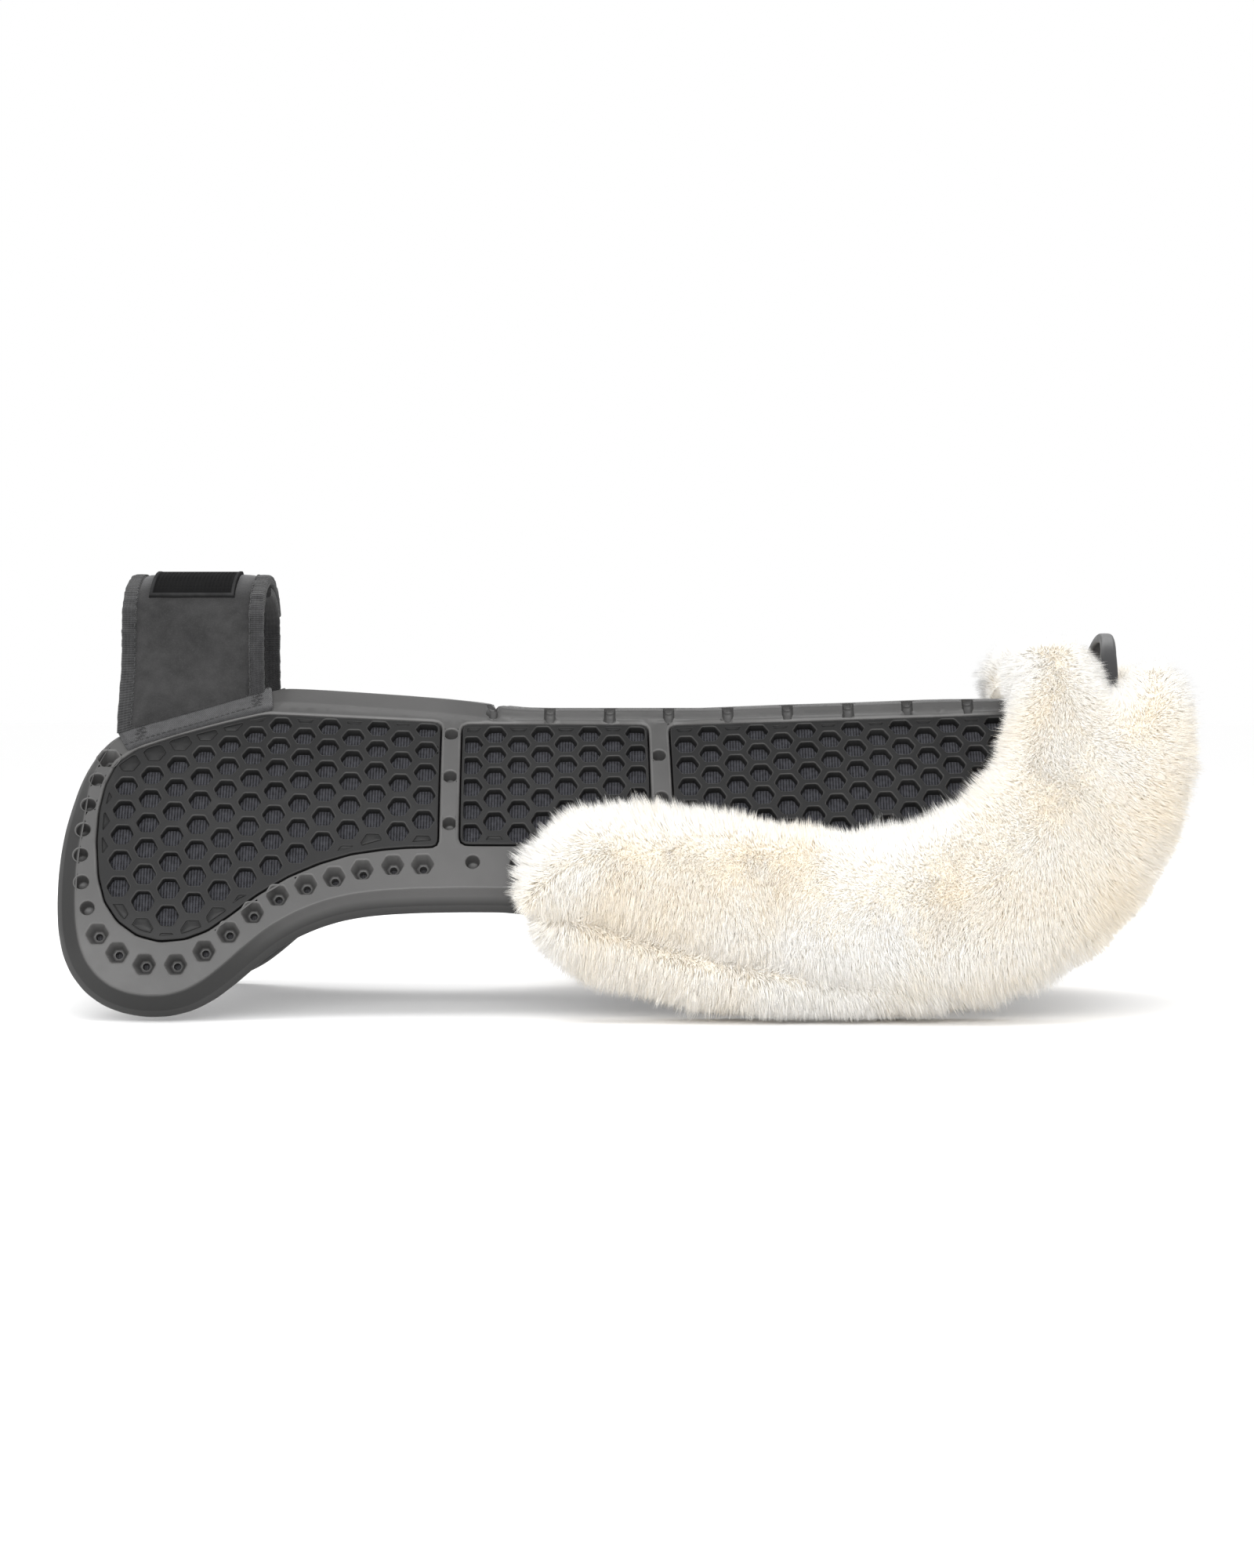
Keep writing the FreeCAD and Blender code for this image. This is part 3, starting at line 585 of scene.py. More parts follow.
bevel = np.where((P_PANEL[:, 1] > 60) & (P_PANEL[:, 0] < 0), 11.0, np.where(P_PANEL[:, 0] < -268, 6.5, np.where(P_PANEL[:, 1] < 30, 1.6, 8.0)))
kk = np.exp(-0.5 * (np.arange(-9, 10) / 4.0) ** 2)
kk /= kk.sum()
bevel = sum(kk[i] * np.roll(bevel, i - 9) for i in range(19))
bd = np.minimum(6.0, bevel * 0.62)


def outer_rings():
    lip = np.minimum(2.6, bevel * 0.3)
    rings = []
    bevel_shade = np.where((P_PANEL[:, 0] > -182) & (P_PANEL[:, 1] > 40), 0.15, 1.0)  # the painted shade on the bevel is weaker behind the knee
    bevel_shade = sum(kk[i] * np.roll(bevel_shade, i - 9) for i in range(19))
    # each ring's third value goes to the wear attribute: positive on the outer lip is wear, negative on the bevel and
    # outer edge is painted shade
    for f, dz, w in ((1.0, 0.0, 0.0), (0.955, 0.02, 0.4), (0.9, 0.08, -0.25 * bevel_shade), (0.83, 0.16, -bevel_shade), (0.5, 0.5, -bevel_shade), (0.06, 0.95, -1.0), (0.0, 1.02, -0.7)):
        rings.append((off(P_PANEL, lip + (bevel - lip) * f), dz * bd, w))
    rings.append((off(P_PANEL, lip * 0.12), bd + lip * 1.05, -0.9))
    rings.append((off(P_PANEL, 0.0), bd + lip * 1.4, -1.0))
    rings.append((off(P_PANEL, 0.5), np.full(len(P_PANEL), 11.2), 0.0))
    rings.append((off(P_PANEL, 2.0), np.full(len(P_PANEL), 12.0), 0.0))
    return rings


def frame_piece(side):
    holes = []
    for k in INSERTS:
        P = smooth_closed(INSERTS[k], 2.2, 1.3)
        holes.append({"rings": [(off(P, -0.8 - a), d, w) for a, d, w in ((1.5, 0, 0), (1.0, 0.12, 0.45), (0.4, 0.45, 0.5), (0.0, 1.1, 0.2), (0, 11.9, 0), (0, 12.0, 0))]})
    for c in HEX_POCKETS:
        t = -1.0
        holes.append({"through": True, "rings": [
            (hexring(c, 6.9, t), 0, 0), (hexring(c, 6.35, t), 0.12, 0.5), (hexring(c, 5.9, t), 0.7, 0.35),
            (hexring(c, 3.7, t), 7.4, 0), (hexring(c, 3.2, t), 8.0, 0), (circring_as_hex(c, 1.95), 8.1, 0), (circring_as_hex(c, 1.8), 8.7, 0),
            (circring_as_hex(c, 1.8), 12.0, 0)]})
    for c in ROUND_POCKETS:
        holes.append({"through": False, "rings": [
            (circring(c, 4.3), 0, 0), (circring(c, 4.0), 0.1, 0.5), (circring(c, 3.7), 0.5, 0.35), (circring(c, 3.5), 1.2, 0),
            (circring(c, 3.1), 7.4, 0), (circring(c, 2.4), 8.0, 0)]})
    extra = []
    inner = off(P_PANEL, bevel)
    for q in (1.9, 3.0, 3.8, 4.6, 5.4, 6.4, 8.0, 9.2, 9.9, 10.6, 11.3, 12.4, 13.2, 14.2):
        xs = np.arange(-180, 200, 3.1)
        extra.append(np.c_[xs, s_top(xs) + q])
    for xn in NOTCHES:
        gx, gq = np.meshgrid(np.arange(-3.5, 3.51, 0.5), np.arange(1.6, 11.9, 0.5))
        extra.append(np.c_[(xn + gx).ravel(), (s_top(xn + gx) + gq).ravel()])
    extra = np.vstack(extra)
    extra = extra[inside(extra, inner)]
    extra = extra[dist(extra, inner) > 0.35]
    return plate(side + "_frame_shell", outer_rings(), holes, frame_top, R_IN, side, [M_FRAME], extra_top=extra, sharp=50)


def circring_as_hex(c, rad):
    ang = np.concatenate([np.array([0.0, 7.0, 30.0, 53.0]) + 60 * k for k in range(6)])
    th = np.radians(ang - 1.0)
    return np.c_[c[0] + rad * np.cos(th), c[1] + rad * np.sin(th)]


def hex_poly(c, rad, tilt):
    th = np.radians(np.arange(6) * 60 + tilt)
    return np.c_[c[0] + rad * np.cos(th), c[1] + rad * np.sin(th)]


def clip(poly, q, n, m):
    """The part of a convex polygon at least m inside the line through q with inward normal n."""
    out = []
    h = (poly - q) @ n - m
    for i in range(len(poly)):
        j = (i + 1) % len(poly)
        if h[i] >= 0:
            out.append(poly[i])
        if (h[i] >= 0) != (h[j] >= 0):
            t = h[i] / (h[i] - h[j])
            out.append(poly[i] + (poly[j] - poly[i]) * t)
    return np.array(out)


def poly_area(P):
    return abs(np.sum(P[:, 0] * np.roll(P[:, 1], -1) - np.roll(P[:, 0], -1) * P[:, 1])) / 2 if len(P) > 2 else 0.0


TILT = {"front": 1.1, "middle": -1.5, "rear": -2.2}
CELL = 6.0
WEB = 2.4


def cells(name):
    """Whole cells, and the ones that the insert's border cuts, as (centre, polygon, share of a whole cell)."""
    (ox, oy), a, b = LATTICE[name]
    poly = smooth_closed(INSERTS[name], 2.2, 1.3)
    nrm = inward(poly)
    i, j = np.meshgrid(np.arange(-45, 46), np.arange(-45, 46))
    Q = np.c_[(ox + i * a[0] + j * b[0]).ravel(), (oy + i * a[1] + j * b[1]).ravel()]
    near = inside(Q, poly)
    d = dist(Q, poly)
    Q, d = Q[near | (d < 3.5)], d[near | (d < 3.5)]
    whole = 2.598 * CELL * CELL
    out = []
    for c, dd in zip(Q, d):
        H = hex_poly(c, CELL, TILT[name])
        if inside(c[None], poly)[0] and dd > CELL + WEB:
            out.append((c, H, 1.0))
            continue
        whole_hex = H
        for web in (1.45, WEB):
            H = whole_hex
            for k in np.nonzero(np.hypot(*(poly - c).T) < 15.0)[0]:
                H = clip(H, poly[k], nrm[k], web)
                if len(H) < 3:
                    break
            if len(H) >= 3 and web < WEB and poly_area(H) / whole > 0.78:
                break
        if len(H) < 3:
            continue
        share = poly_area(H) / whole
        ext = H.max(0) - H.min(0)
        if share > 0.03 and ext.min() > 0.8:
            out.append((c, H, share))
    return out


def insert_piece(k, side):
    P = smooth_closed(INSERTS[k], 2.2, 1.3)
    rb = BR - INSERT_T
    outer = [(off(P, a), d, w) for a, d, w in ((0.6, 0, 0), (0.4, 0.08, 0.3), (0.15, 0.3, 0.35), (0.0, 0.8, 0.1), (0.0, 4.2, 0), (0.4, 4.6, 0))]
    holes = []
    t = TILT[k]
    for c, H, share in cells(k):
        if share > 0.985:
            holes.append({"rings": [(hexring(c, CELL + 0.75, t), 0, 0.0), (hexring(c, CELL + 0.5, t), 0.07, 0.55), (hexring(c, CELL + 0.2, t), 0.3, 0.6),
                                    (hexring(c, CELL, t), 0.8, 0.15), (hexring(c, CELL - 0.2, t), 4.6, 0)]})
            continue
        R = ccw(resample(H, 1.0 if share < 0.3 else 1.3))
        opened = (share > 0.78 and (k != "front" or c[0] > -212)) or (share > 0.40 and (k != "front" or c[0] > -112))
        span = H.max(0) - H.min(0)
        if opened:
            holes.append({"rings": [(off(R, -0.6), 0, 0), (off(R, -0.4), 0.07, 0.5), (off(R, -0.15), 0.3, 0.5), (R, 0.8, 0.1), (R, 4.6, 0)]})
        elif span.min() > 3.4:  # moulded outline of a cell
            holes.append({"through": False, "rings": [(off(R, -0.3), 0, 0), (off(R, -0.12), 0.08, 0.4), (off(R, 0.05), 0.6, 0), (off(R, 0.3), 0.6, 0),
                                                      (off(R, 0.5), 0.12, 0.3), (off(R, 0.62), 0.04, 0)]})
        else:
            holes.append({"through": False, "rings": [(off(R, -0.3), 0, 0), (off(R, -0.12), 0.1, 0.4), (R, 0.75, 0.1), (off(R, 0.12), 0.85, 0)]})
    return plate(side + "_" + k + "_insert_shell", outer, holes, lambda x, s: np.full(np.shape(x), BR - 0.1), rb, side, [M_INSERT], sharp=45, full=4.6)


def pad_piece(k, side):
    P = smooth_closed(INSERTS[k], 3.0, 1.6)
    outer = [(off(P, a), d, 0) for a, d in ((1.6, 0), (0.7, 0.3), (0.2, 1.0), (0.1, 6.6), (0.6, 7.4))]
    outer = [(p, d * (12.0 / 7.4), w) for p, d, w in outer]  # depth runs 0 to 12 over any plate's thickness
    top = lambda x, s: np.full(np.shape(x), BR - INSERT_T - 0.05)  # noqa: E731
    return plate(side + "_" + k + "_pad", outer, [], top, R_IN, side, [M_KNIT], grid=(8.0, 5.0), sharp=60)


def lining_piece(side):
    P = off(P_PANEL, 4.0)
    outer = [(off(P, a), d, 0) for a, d in ((0.8, 0.0), (0.2, 2.0), (0.0, 5.0), (0.2, 10.0), (1.0, 12.0))]
    top = lambda x, s: np.full(np.shape(x), R_IN)  # noqa: E731
    return plate(side + "_lining_knit", outer, [], top, R_IN - LINING_T, side, [M_LINING], grid=(9.0, 5.0), sharp=60)


for side in ("left", "right"):
    body = side + "_panel"
    o = frame_piece(side)
    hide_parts(side + "_frame"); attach(o, body)
    for k in ("front", "middle", "rear"):
        o = insert_piece(k, side)
        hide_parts(side + "_" + k + "_insert"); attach(o, body)
        o = pad_piece(k, side)
        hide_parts(side + "_" + k + "_foam_pad"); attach(o, body)
    o = lining_piece(side)
    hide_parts(side + "_lining"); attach(o, body)
    cut = off(P_PANEL, 4.0) * [1.0, (R_IN - 1.0) / BR] / 1000.0

# -------------------------------------------------------------------- fleece
ROLL = [
    (-52.0, 125.0), (-52.5, 114.0), (-48.5, 103.0), (-42.0, 93.0), (-32.0, 84.0), (-20.0, 78.5), (-6.0, 76.5),
    (12.0, 77.0), (35.0, 79.0), (60.0, 83.0), (85.0, 88.0), (110.0, 90.5), (136.0, 89.0), (158.0, 83.0),
    (176.0, 72.0), (188.0, 57.0), (196.5, 39.0), (201.0, 20.0), (202.5, 4.0), (200.0, -7.0),
    (201.5, -16.0), (209.0, -21.5), (222.0, -23.0), (235.0, -20.0), (242.0, -11.0), (245.0, 2.0), (248.5, 10.5), (254.5, 10.5), (258.5, 3.0),
    (262.0, -6.0), (268.0, -11.0), (276.5, -12.0), (284.0, -7.0), (288.0, 3.0), (289.5, 20.0), (287.5, 45.0), (279.0, 71.0),
    (262.0, 97.0), (245.0, 122.0), (221.0, 144.0), (197.0, 157.0), (173.0, 164.0), (148.0, 165.0), (120.0, 163.0), (88.0, 157.0),
    (64.0, 151.0), (40.0, 145.0), (15.0, 138.0), (-9.0, 131.0), (-32.0, 126.5), (-45.0, 126.5)]
UNDER = [
    (-44.0, 120.0), (-26.0, 121.0), (-2.0, 129.0), (20.0, 137.0), (46.0, 143.0), (74.0, 146.0), (104.0, 147.0),
    (134.0, 146.0), (160.0, 142.5), (184.0, 136.0), (206.0, 126.0), (224.0, 112.0), (238.0, 95.0),
    (248.0, 76.0), (254.0, 56.0), (256.0, 36.0), (257.0, 14.0),
    (268.5, 8.0), (276.0, 5.0), (281.0, 9.0), (284.5, 20.0), (285.5, 36.0), (283.0, 56.0), (276.5, 79.0),
    (266.0, 102.0), (252.0, 122.0), (232.0, 142.0), (205.0, 157.5), (176.0, 167.0), (146.0, 173.0),
    (112.0, 174.5), (78.0, 173.5), (46.5, 170.0), (16.0, 163.5), (-10.0, 156.0), (-31.0, 147.5), (-43.0, 138.0), (-47.0, 129.0)]
FOLD = [
    (-40.0, 117.0), (-30.0, 118.0), (-9.0, 124.0), (15.0, 131.0), (40.0, 138.0), (64.0, 144.0), (88.0, 150.0), (120.0, 156.0),
    (148.0, 158.0), (172.0, 157.0), (195.0, 150.0), (217.0, 138.0), (239.0, 117.0), (254.0, 93.0), (265.0, 68.0), (271.0, 44.0),
    (273.0, 22.0), (274.5, 9.0), (281.0, 9.0), (284.5, 20.0), (285.5, 36.0), (283.0, 56.0), (276.5, 79.0), (266.0, 102.0),
    (252.0, 122.0), (232.0, 142.0), (205.0, 157.5), (176.0, 167.0), (146.0, 173.0), (112.0, 174.5), (78.0, 173.5),
    (46.5, 170.0), (16.0, 163.5), (-10.0, 156.0), (-31.0, 147.5), (-43.0, 138.0), (-47.0, 129.0)]
P_ROLL, P_UNDER, P_FOLD = smooth_closed(ROLL, 3.0, 3.5), smooth_closed(UNDER, 3.0, 3.0), smooth_closed(FOLD, 3.0, 2.0)


def lumps(x, s, k=0):
    """Soft irregular swelling of the stuffed roll."""
    return (1.5 * np.sin(x / 19.0 + 1.3 + k) * np.sin(s / 16.0 + 0.4) + 0.9 * np.sin(x / 11.3 + s / 13.0 + 2 * k)
            + 0.8 * np.sin(x / 31.0 - s / 12.0 + 4.0))


def dome(t, p=2.3):
    return (1 - (1 - np.clip(t, 0, 1)) ** p) ** (1 / p)


def roll_h(Q, d=None):
    d = dist(Q, P_ROLL) if d is None else d
    top = 1 - step01(10, 45, Q[:, 1])
    wide = 25.0 - 9.0 * top * step01(185, 200, Q[:, 0])
    hump = 8.5 * np.exp(-((Q[:, 0] - 220) / 26.0) ** 4) * (1 - step01(-10, 62, Q[:, 1]))
    return (21.5 + hump) * dome(d / wide) + lumps(Q[:, 0], Q[:, 1]) * np.clip(d / 16, 0, 1)


def under_h(Q, d=None):
    d = dist(Q, P_UNDER) if d is None else d
    return 15.5 * dome(d / 14.0) + lumps(Q[:, 0], Q[:, 1], 2) * 0.6 * np.clip(d / 12, 0, 1)


def pillow(name, P, top, bot, side, mats):
    """Closed pillow over the outline P: top and bottom give the radius of each face from (points, edge distance)."""
    loops = [P]
    ext = [off(P, 0.5), off(P, 1.6), off(P, 3.6), grid_points(P, 5.0, 4.4, 5.5)]
    ext = [ext[0], ext[1][::1], ext[2][::1], ext[3]]
    E = np.vstack(ext)
    E = E[inside(E, P)]
    tri, pts = fill(loops, E, lambda C: inside(C, P))
    d = dist(pts, P)
    d[:len(P)] = 0
    n = len(pts)
    Vt, Vb = S(pts[:, 0], pts[:, 1], top(pts, d)), S(pts[:, 0], pts[:, 1], bot(pts, d))
    ring = np.arange(len(P))
    quads = np.c_[ring, np.roll(ring, -1), np.roll(ring, -1) + n, ring + n]
    uv = np.c_[(pts[:, 0] + 300) / 620, (pts[:, 1] + 30) / 620]
    uv2 = np.vstack([uv, uv + [0, 0.42]])
    return build(name, np.vstack([Vt, Vb]), [np.vstack([tri, tri[:, ::-1] + n]), quads], side, mats, uv=uv2, recalc=True)


def beyond(Q):
    """1 outside the panel's edge, 0 well inside."""
    sgn = np.where(inside(Q, P_PANEL), 1, -1) * dist(Q, P_PANEL)
    return 1 - step01(-3.0, 2.0, sgn)


LOBE_R = 247.5


def roll_top(Q, d):
    return BR + 1.0 + roll_h(Q, d)


def roll_bot(Q, d):
    return BR - 0.3 - 2.0 * beyond(Q) * np.clip(d / 6, 0, 1)


def under_top(Q, d):
    w = beyond(Q)
    return (1 - w) * (R_IN - LINING_T - 0.6) + w * LOBE_R


def fold_top(Q, d):
    e = dist(Q, P_UNDER)
    return LOBE_R + 1.2 + (BR + 9.5 - LOBE_R) * dome(e / 15.0) + 0.7 * lumps(Q[:, 0], Q[:, 1], 1) * np.clip(e / 10, 0, 1)


def fold_bot(Q, d):
    w = beyond(Q)
    return (1 - w) * (BR + 0.3) + w * (LOBE_R + 0.6)


def under_bot(Q, d):
    d = dist(Q, P_UNDER) if d is None else d
    return LOBE_R - 1.5 * step01(0, 6, d) - under_h(Q, d) * 0.97


def strands(K, P, dirs, bend, L, w, tint):
    """Tapered closed three-sided hairs of K spans."""
    n = len(P)
    ref = RNG.normal(size=(n, 3))
    U = np.cross(dirs, ref)
    U /= np.linalg.norm(U, axis=1)[:, None]
    W = np.cross(dirs, U)
    V = np.empty((n, 3 * K + 1, 3))
    uv = np.empty((n, 3 * K + 1, 2))
    for k in range(K):
        t = k / K * 1.1
        C = P + dirs * (L * t)[:, None] + bend * (L * t * t)[:, None]
        rad = w * (1 - 0.45 * t)
        for j in range(3):
            a = 2 * math.pi * j / 3
            V[:, 3 * k + j] = C + (U * math.cos(a) + W * math.sin(a)) * rad[:, None]
            uv[:, 3 * k + j] = np.c_[tint, np.full(n, 0.04 + 0.92 * t)]
    V[:, 3 * K] = P + dirs * L[:, None] + bend * L[:, None]
    uv[:, 3 * K] = np.c_[tint, np.full(n, 0.97)]
    base = (np.arange(n) * (3 * K + 1))[:, None]
    quads, tris = [], [base + np.array([[0, 2, 1]])]
    for k in range(K - 1):
        for j in range(3):
            j2 = (j + 1) % 3
            quads.append(base + np.array([[3 * k + j, 3 * k + j2, 3 * k + 3 + j2, 3 * k + 3 + j]]))
    for j in range(3):
        tris.append(base + np.array([[3 * K - 3 + j, 3 * K - 3 + (j + 1) % 3, 3 * K]]))
    uv = uv.reshape(-1, 2)
    return V.reshape(-1, 3), ([np.vstack(quads)] if quads else []) + [np.vstack(tris)], uv


def field(P, seed, cell):
    """Smooth vector noise on (X, s), from random waves."""
    g = np.random.default_rng(seed)
    out = np.zeros((len(P), 2))
    for _ in range(7):
        k = g.normal(size=2) / cell
        ph, a = g.uniform(0, 6.28), g.normal(size=2)
        out += np.sin(P @ k + ph)[:, None] * a
    return out / 2.6


def tint_of(Q, g):
    return np.clip(0.60 + 0.34 * field(Q, 11, 26.0)[:, 0] + 0.16 * field(Q, 12, 8.0)[:, 1] + 0.20 * g.normal(size=len(Q)), 0.01, 0.99)


def pile(poly, rad_fn, face, per_mm2, seed, keep=None, length=(6.0, 8.5), width=(0.12, 0.20), lock=1.0):
    """Roots spread evenly over one face of a pillow; the hairs stand off it, with slow swirls and faint tufts."""
    g = np.random.default_rng(seed)
    lo, hi = poly.min(0), poly.max(0)
    e = 0.35
    box = float(np.prod(hi - lo))
    Q = g.uniform(lo, hi, size=(int(box * per_mm2 * 3.2), 2))
    Q = Q[inside(Q, poly)]
    d = dist(Q, poly)
    if keep is not None:
        m = keep(Q, d)
        Q, d = Q[m], d[m]
    # slope of the face, from a coarse table
    gx, gs = np.arange(lo[0] - 4, hi[0] + 4, 1.0), np.arange(lo[1] - 4, hi[1] + 4, 1.0)
    GX, GS = np.meshgrid(gx, gs, indexing="ij")
    G = np.c_[GX.ravel(), GS.ravel()]
    gd = np.where(inside(G, poly), dist(G, poly), 0.0)
    R = rad_fn(G, gd).reshape(GX.shape)
    D0 = gd.reshape(GX.shape)
    DX, DS = np.gradient(R, 1.0, 1.0)
    FX, FS = np.gradient(D0, 1.0, 1.0)

    def look(T, Z):
        u, v = (Z[:, 0] - gx[0]), (Z[:, 1] - gs[0])
        i, j = np.clip(u.astype(int), 0, len(gx) - 2), np.clip(v.astype(int), 0, len(gs) - 2)
        fu, fv = u - i, v - j
        return (T[i, j] * (1 - fu) * (1 - fv) + T[i + 1, j] * fu * (1 - fv) + T[i, j + 1] * (1 - fu) * fv + T[i + 1, j + 1] * fu * fv)

    dx, ds, fx, fs = look(DX, Q), look(DS, Q), look(FX, Q), look(FS, Q)
    slope = np.sqrt(1 + np.minimum(dx ** 2 + ds ** 2, 8.2))
    pick = g.uniform(0, 1, len(Q)) < slope / 3.2
    Q, d, dx, ds, fx, fs = (z[pick] for z in (Q, d, dx, ds, fx, fs))
    P = S(Q[:, 0], Q[:, 1], rad_fn(Q, d))
    a = AT + Q[:, 1] / BR
    n = np.stack([0 * a, -np.sin(a), np.cos(a)], 1)
    ts = np.stack([0 * a, -np.cos(a), -np.sin(a)], 1)
    tx = np.array([[1.0, 0, 0]])
    nn = (n - tx * np.clip(dx, -3, 3)[:, None] - ts * np.clip(ds, -3, 3)[:, None]) * face
    nn /= np.linalg.norm(nn, axis=1)[:, None]
    flow = -np.c_[fx, fs] * (0.12 + 0.55 * np.exp(-d / 10))[:, None]
    flow = flow + field(Q, 5, 24.0) * 0.30 + field(Q, 6, 9.0) * 0.12 + np.array([0.0, 0.75]) * (1 - np.exp(-d / 12))[:, None]
    D = nn + tx * flow[:, :1] + ts * flow[:, 1:] + g.normal(size=P.shape) * 0.13
    D /= np.linalg.norm(D, axis=1)[:, None]
    L = g.uniform(length[0], length[1], len(P)) * (1 + 0.10 * field(Q, 9, 12.0)[:, 0])
    B = (tx * flow[:, :1] + ts * flow[:, 1:]) * 0.35 + g.normal(size=P.shape) * 0.12
    B[:, 2] -= 0.05
    tip = P + D * L[:, None] + B * L[:, None]
    step = max(1, int(20 * per_mm2))
    kd = kdtree.KDTree(len(Q[::step]))
    for i, c in enumerate(Q[::step]):
        kd.insert((c[0], c[1], 0), i)
    kd.balance()
    near = np.array([kd.find((q[0], q[1], 0))[1] for q in Q])
    pull = (0.03 + 0.10 * np.clip(0.5 + 0.6 * field(Q, 21, 30.0)[:, 1], 0, 1) + 0.05 * g.uniform(size=len(P)))[:, None] * lock
    B = B + (tip[::step][near] - tip) / L[:, None] * pull
    mag = np.linalg.norm(B, axis=1)
    B *= (np.minimum(mag, 0.6) / np.maximum(mag, 1e-6))[:, None]
    # tint falls, darker and warmer, along the roll's edge near its bottom: painted shade in the crease under the roll
    t = tint_of(Q, g) - (0.3 * np.exp(-(d / 7.0) ** 2) * step01(105, 130, Q[:, 1]) if face > 0 and poly is P_ROLL else 0.0)
    return [P - nn * 0.7, D, B, L, g.uniform(*width, len(P)), np.clip(t, 0.01, 0.99)]


def fill_floor(st):
    """Keeps hairs above the surface that the pad stands on."""
    P, D, B, L, w, tint = st
    tip = P + D * L[:, None] + B * L[:, None]
    low = tip[:, 2] < 0.6
    f = np.clip((P[:, 2] - 0.4) / np.maximum(P[:, 2] - tip[:, 2], 1e-6), 0.25, 1)
    L = np.where(low, L * f, L)
    ok = P[:, 2] > 0.7
    return [a[ok] for a in (P, D, B, L, w, tint)]


dens = 1.0
off_roll = lambda Q, d: ~inside(Q, off(P_ROLL, 2.0))  # noqa: E731
coats = [  # name, spans in a hair, hairs
    ("coat", 1, fill_floor(pile(P_ROLL, roll_top, 1.0, 3.6 * dens, 31))),
    ("fuzz", 2, fill_floor(pile(P_ROLL, roll_top, 1.0, 0.75 * dens, 36, length=(8.0, 11.0), width=(0.10, 0.16), lock=4.0))),
    ("fold_coat", 1, fill_floor(pile(P_FOLD, fold_top, 1.0, 3.4 * dens, 35, keep=off_roll))),
    ("fold_fuzz", 2, fill_floor(pile(P_FOLD, fold_top, 1.0, 0.75 * dens, 37, keep=off_roll, length=(8.0, 11.0), width=(0.10, 0.16), lock=4.0))),
    ("under_coat", 1, fill_floor(pile(P_UNDER, under_bot, -1.0, 1.7 * dens, 32, length=(6.0, 8.0), width=(0.15, 0.25))))]


def rim_pile(poly, r_lo, r_hi, count, seed, length):
    """Hairs round the outer edge of a lobe, between two radii."""
    g = np.random.default_rng(seed)
    E = resample(poly, 0.4)
    Nn = inward(E)
    i = g.integers(0, len(E), count)
    Q, nrm = E[i], -Nn[i]
    r = g.uniform(r_lo, r_hi, count)
    P = S(Q[:, 0], Q[:, 1], r)
    a = AT + Q[:, 1] / BR
    n = np.stack([0 * a, -np.sin(a), np.cos(a)], 1)
    ts = np.stack([0 * a, -np.cos(a), -np.sin(a)], 1)
    tx = np.array([[1.0, 0, 0]])
    f = ((r - (r_lo + r_hi) / 2) / (r_hi - r_lo))[:, None]
    flow = nrm + field(Q, 14, 16.0) * 0.35
    D = tx * flow[:, :1] + ts * flow[:, 1:] + n * f * 1.3 + g.normal(size=P.shape) * 0.16
    D /= np.linalg.norm(D, axis=1)[:, None]
    L = g.uniform(*length, count)
    B = n * f * 0.3 + g.normal(size=P.shape) * 0.14
    B[:, 2] -= 0.08
    return [P - D * 1.0, D, B, L, g.uniform(0.11, 0.18, count), tint_of(Q, g)]


coats.append(("rim", 2, fill_floor(rim_pile(P_UNDER, LOBE_R - 4.5, LOBE_R + 4.5, int(11000 * dens), 33, (5.0, 7.5)))))
coats.append(("seam", 2, fill_floor(rim_pile(P_ROLL, BR - 0.5, BR + 3.0, int(7000 * dens), 34, (4.5, 6.5)))))

for side in ("left", "right"):
    body = side + "_panel"
    o = pillow(side + "_fleece_roll_body", P_ROLL, roll_top, roll_bot, side, [M_FBODY])
    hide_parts(side + "_fleece_roll", side + "_roll_core"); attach(o, body)
    o = pillow(side + "_fleece_underside_body", P_UNDER, under_top, under_bot, side, [M_FBODY])
    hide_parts(side + "_fleece_underside"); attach(o, body)
    o = pillow(side + "_fleece_fold_body", P_FOLD, fold_top, fold_bot, side, [M_FBODY])
    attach(o, body)
    for label, K, st in coats:
        total = len(st[0])
        parts = int(math.ceil(total * (4 + 6 * (K - 1)) / 190000))
        for k in range(parts):
            V, polys, uv = strands(K, *[a[k::parts] for a in st])
            o = build("%s_fleece_%s_%d" % (side, label, k + 1), V, polys, side, [M_FPILE], uv=uv)
            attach(o, body)

# ------------------------------------------------------------- withers strap
C1 = (-TOP_Y + SH_R, SH_Z)
PHI = math.radians(60.0)
JP = (C1[0] - SH_R * math.cos(PHI), C1[1] + SH_R * math.sin(PHI))
CR = -JP[0] / math.cos(PHI)
C2 = (0.0, JP[1] - CR * math.sin(PHI))
XA, XB = SX0 + BW, SX1 - BW
BASE = np.array([(-264.3, 20.5), (-250.0, 14.5), (-235.0, 8.5), (-220.0, 2.5), (-205.0, -4.0), (-186.5, -11.5)])


def s_base(x):
    return np.interp(x, BASE[:, 0], BASE[:, 1])


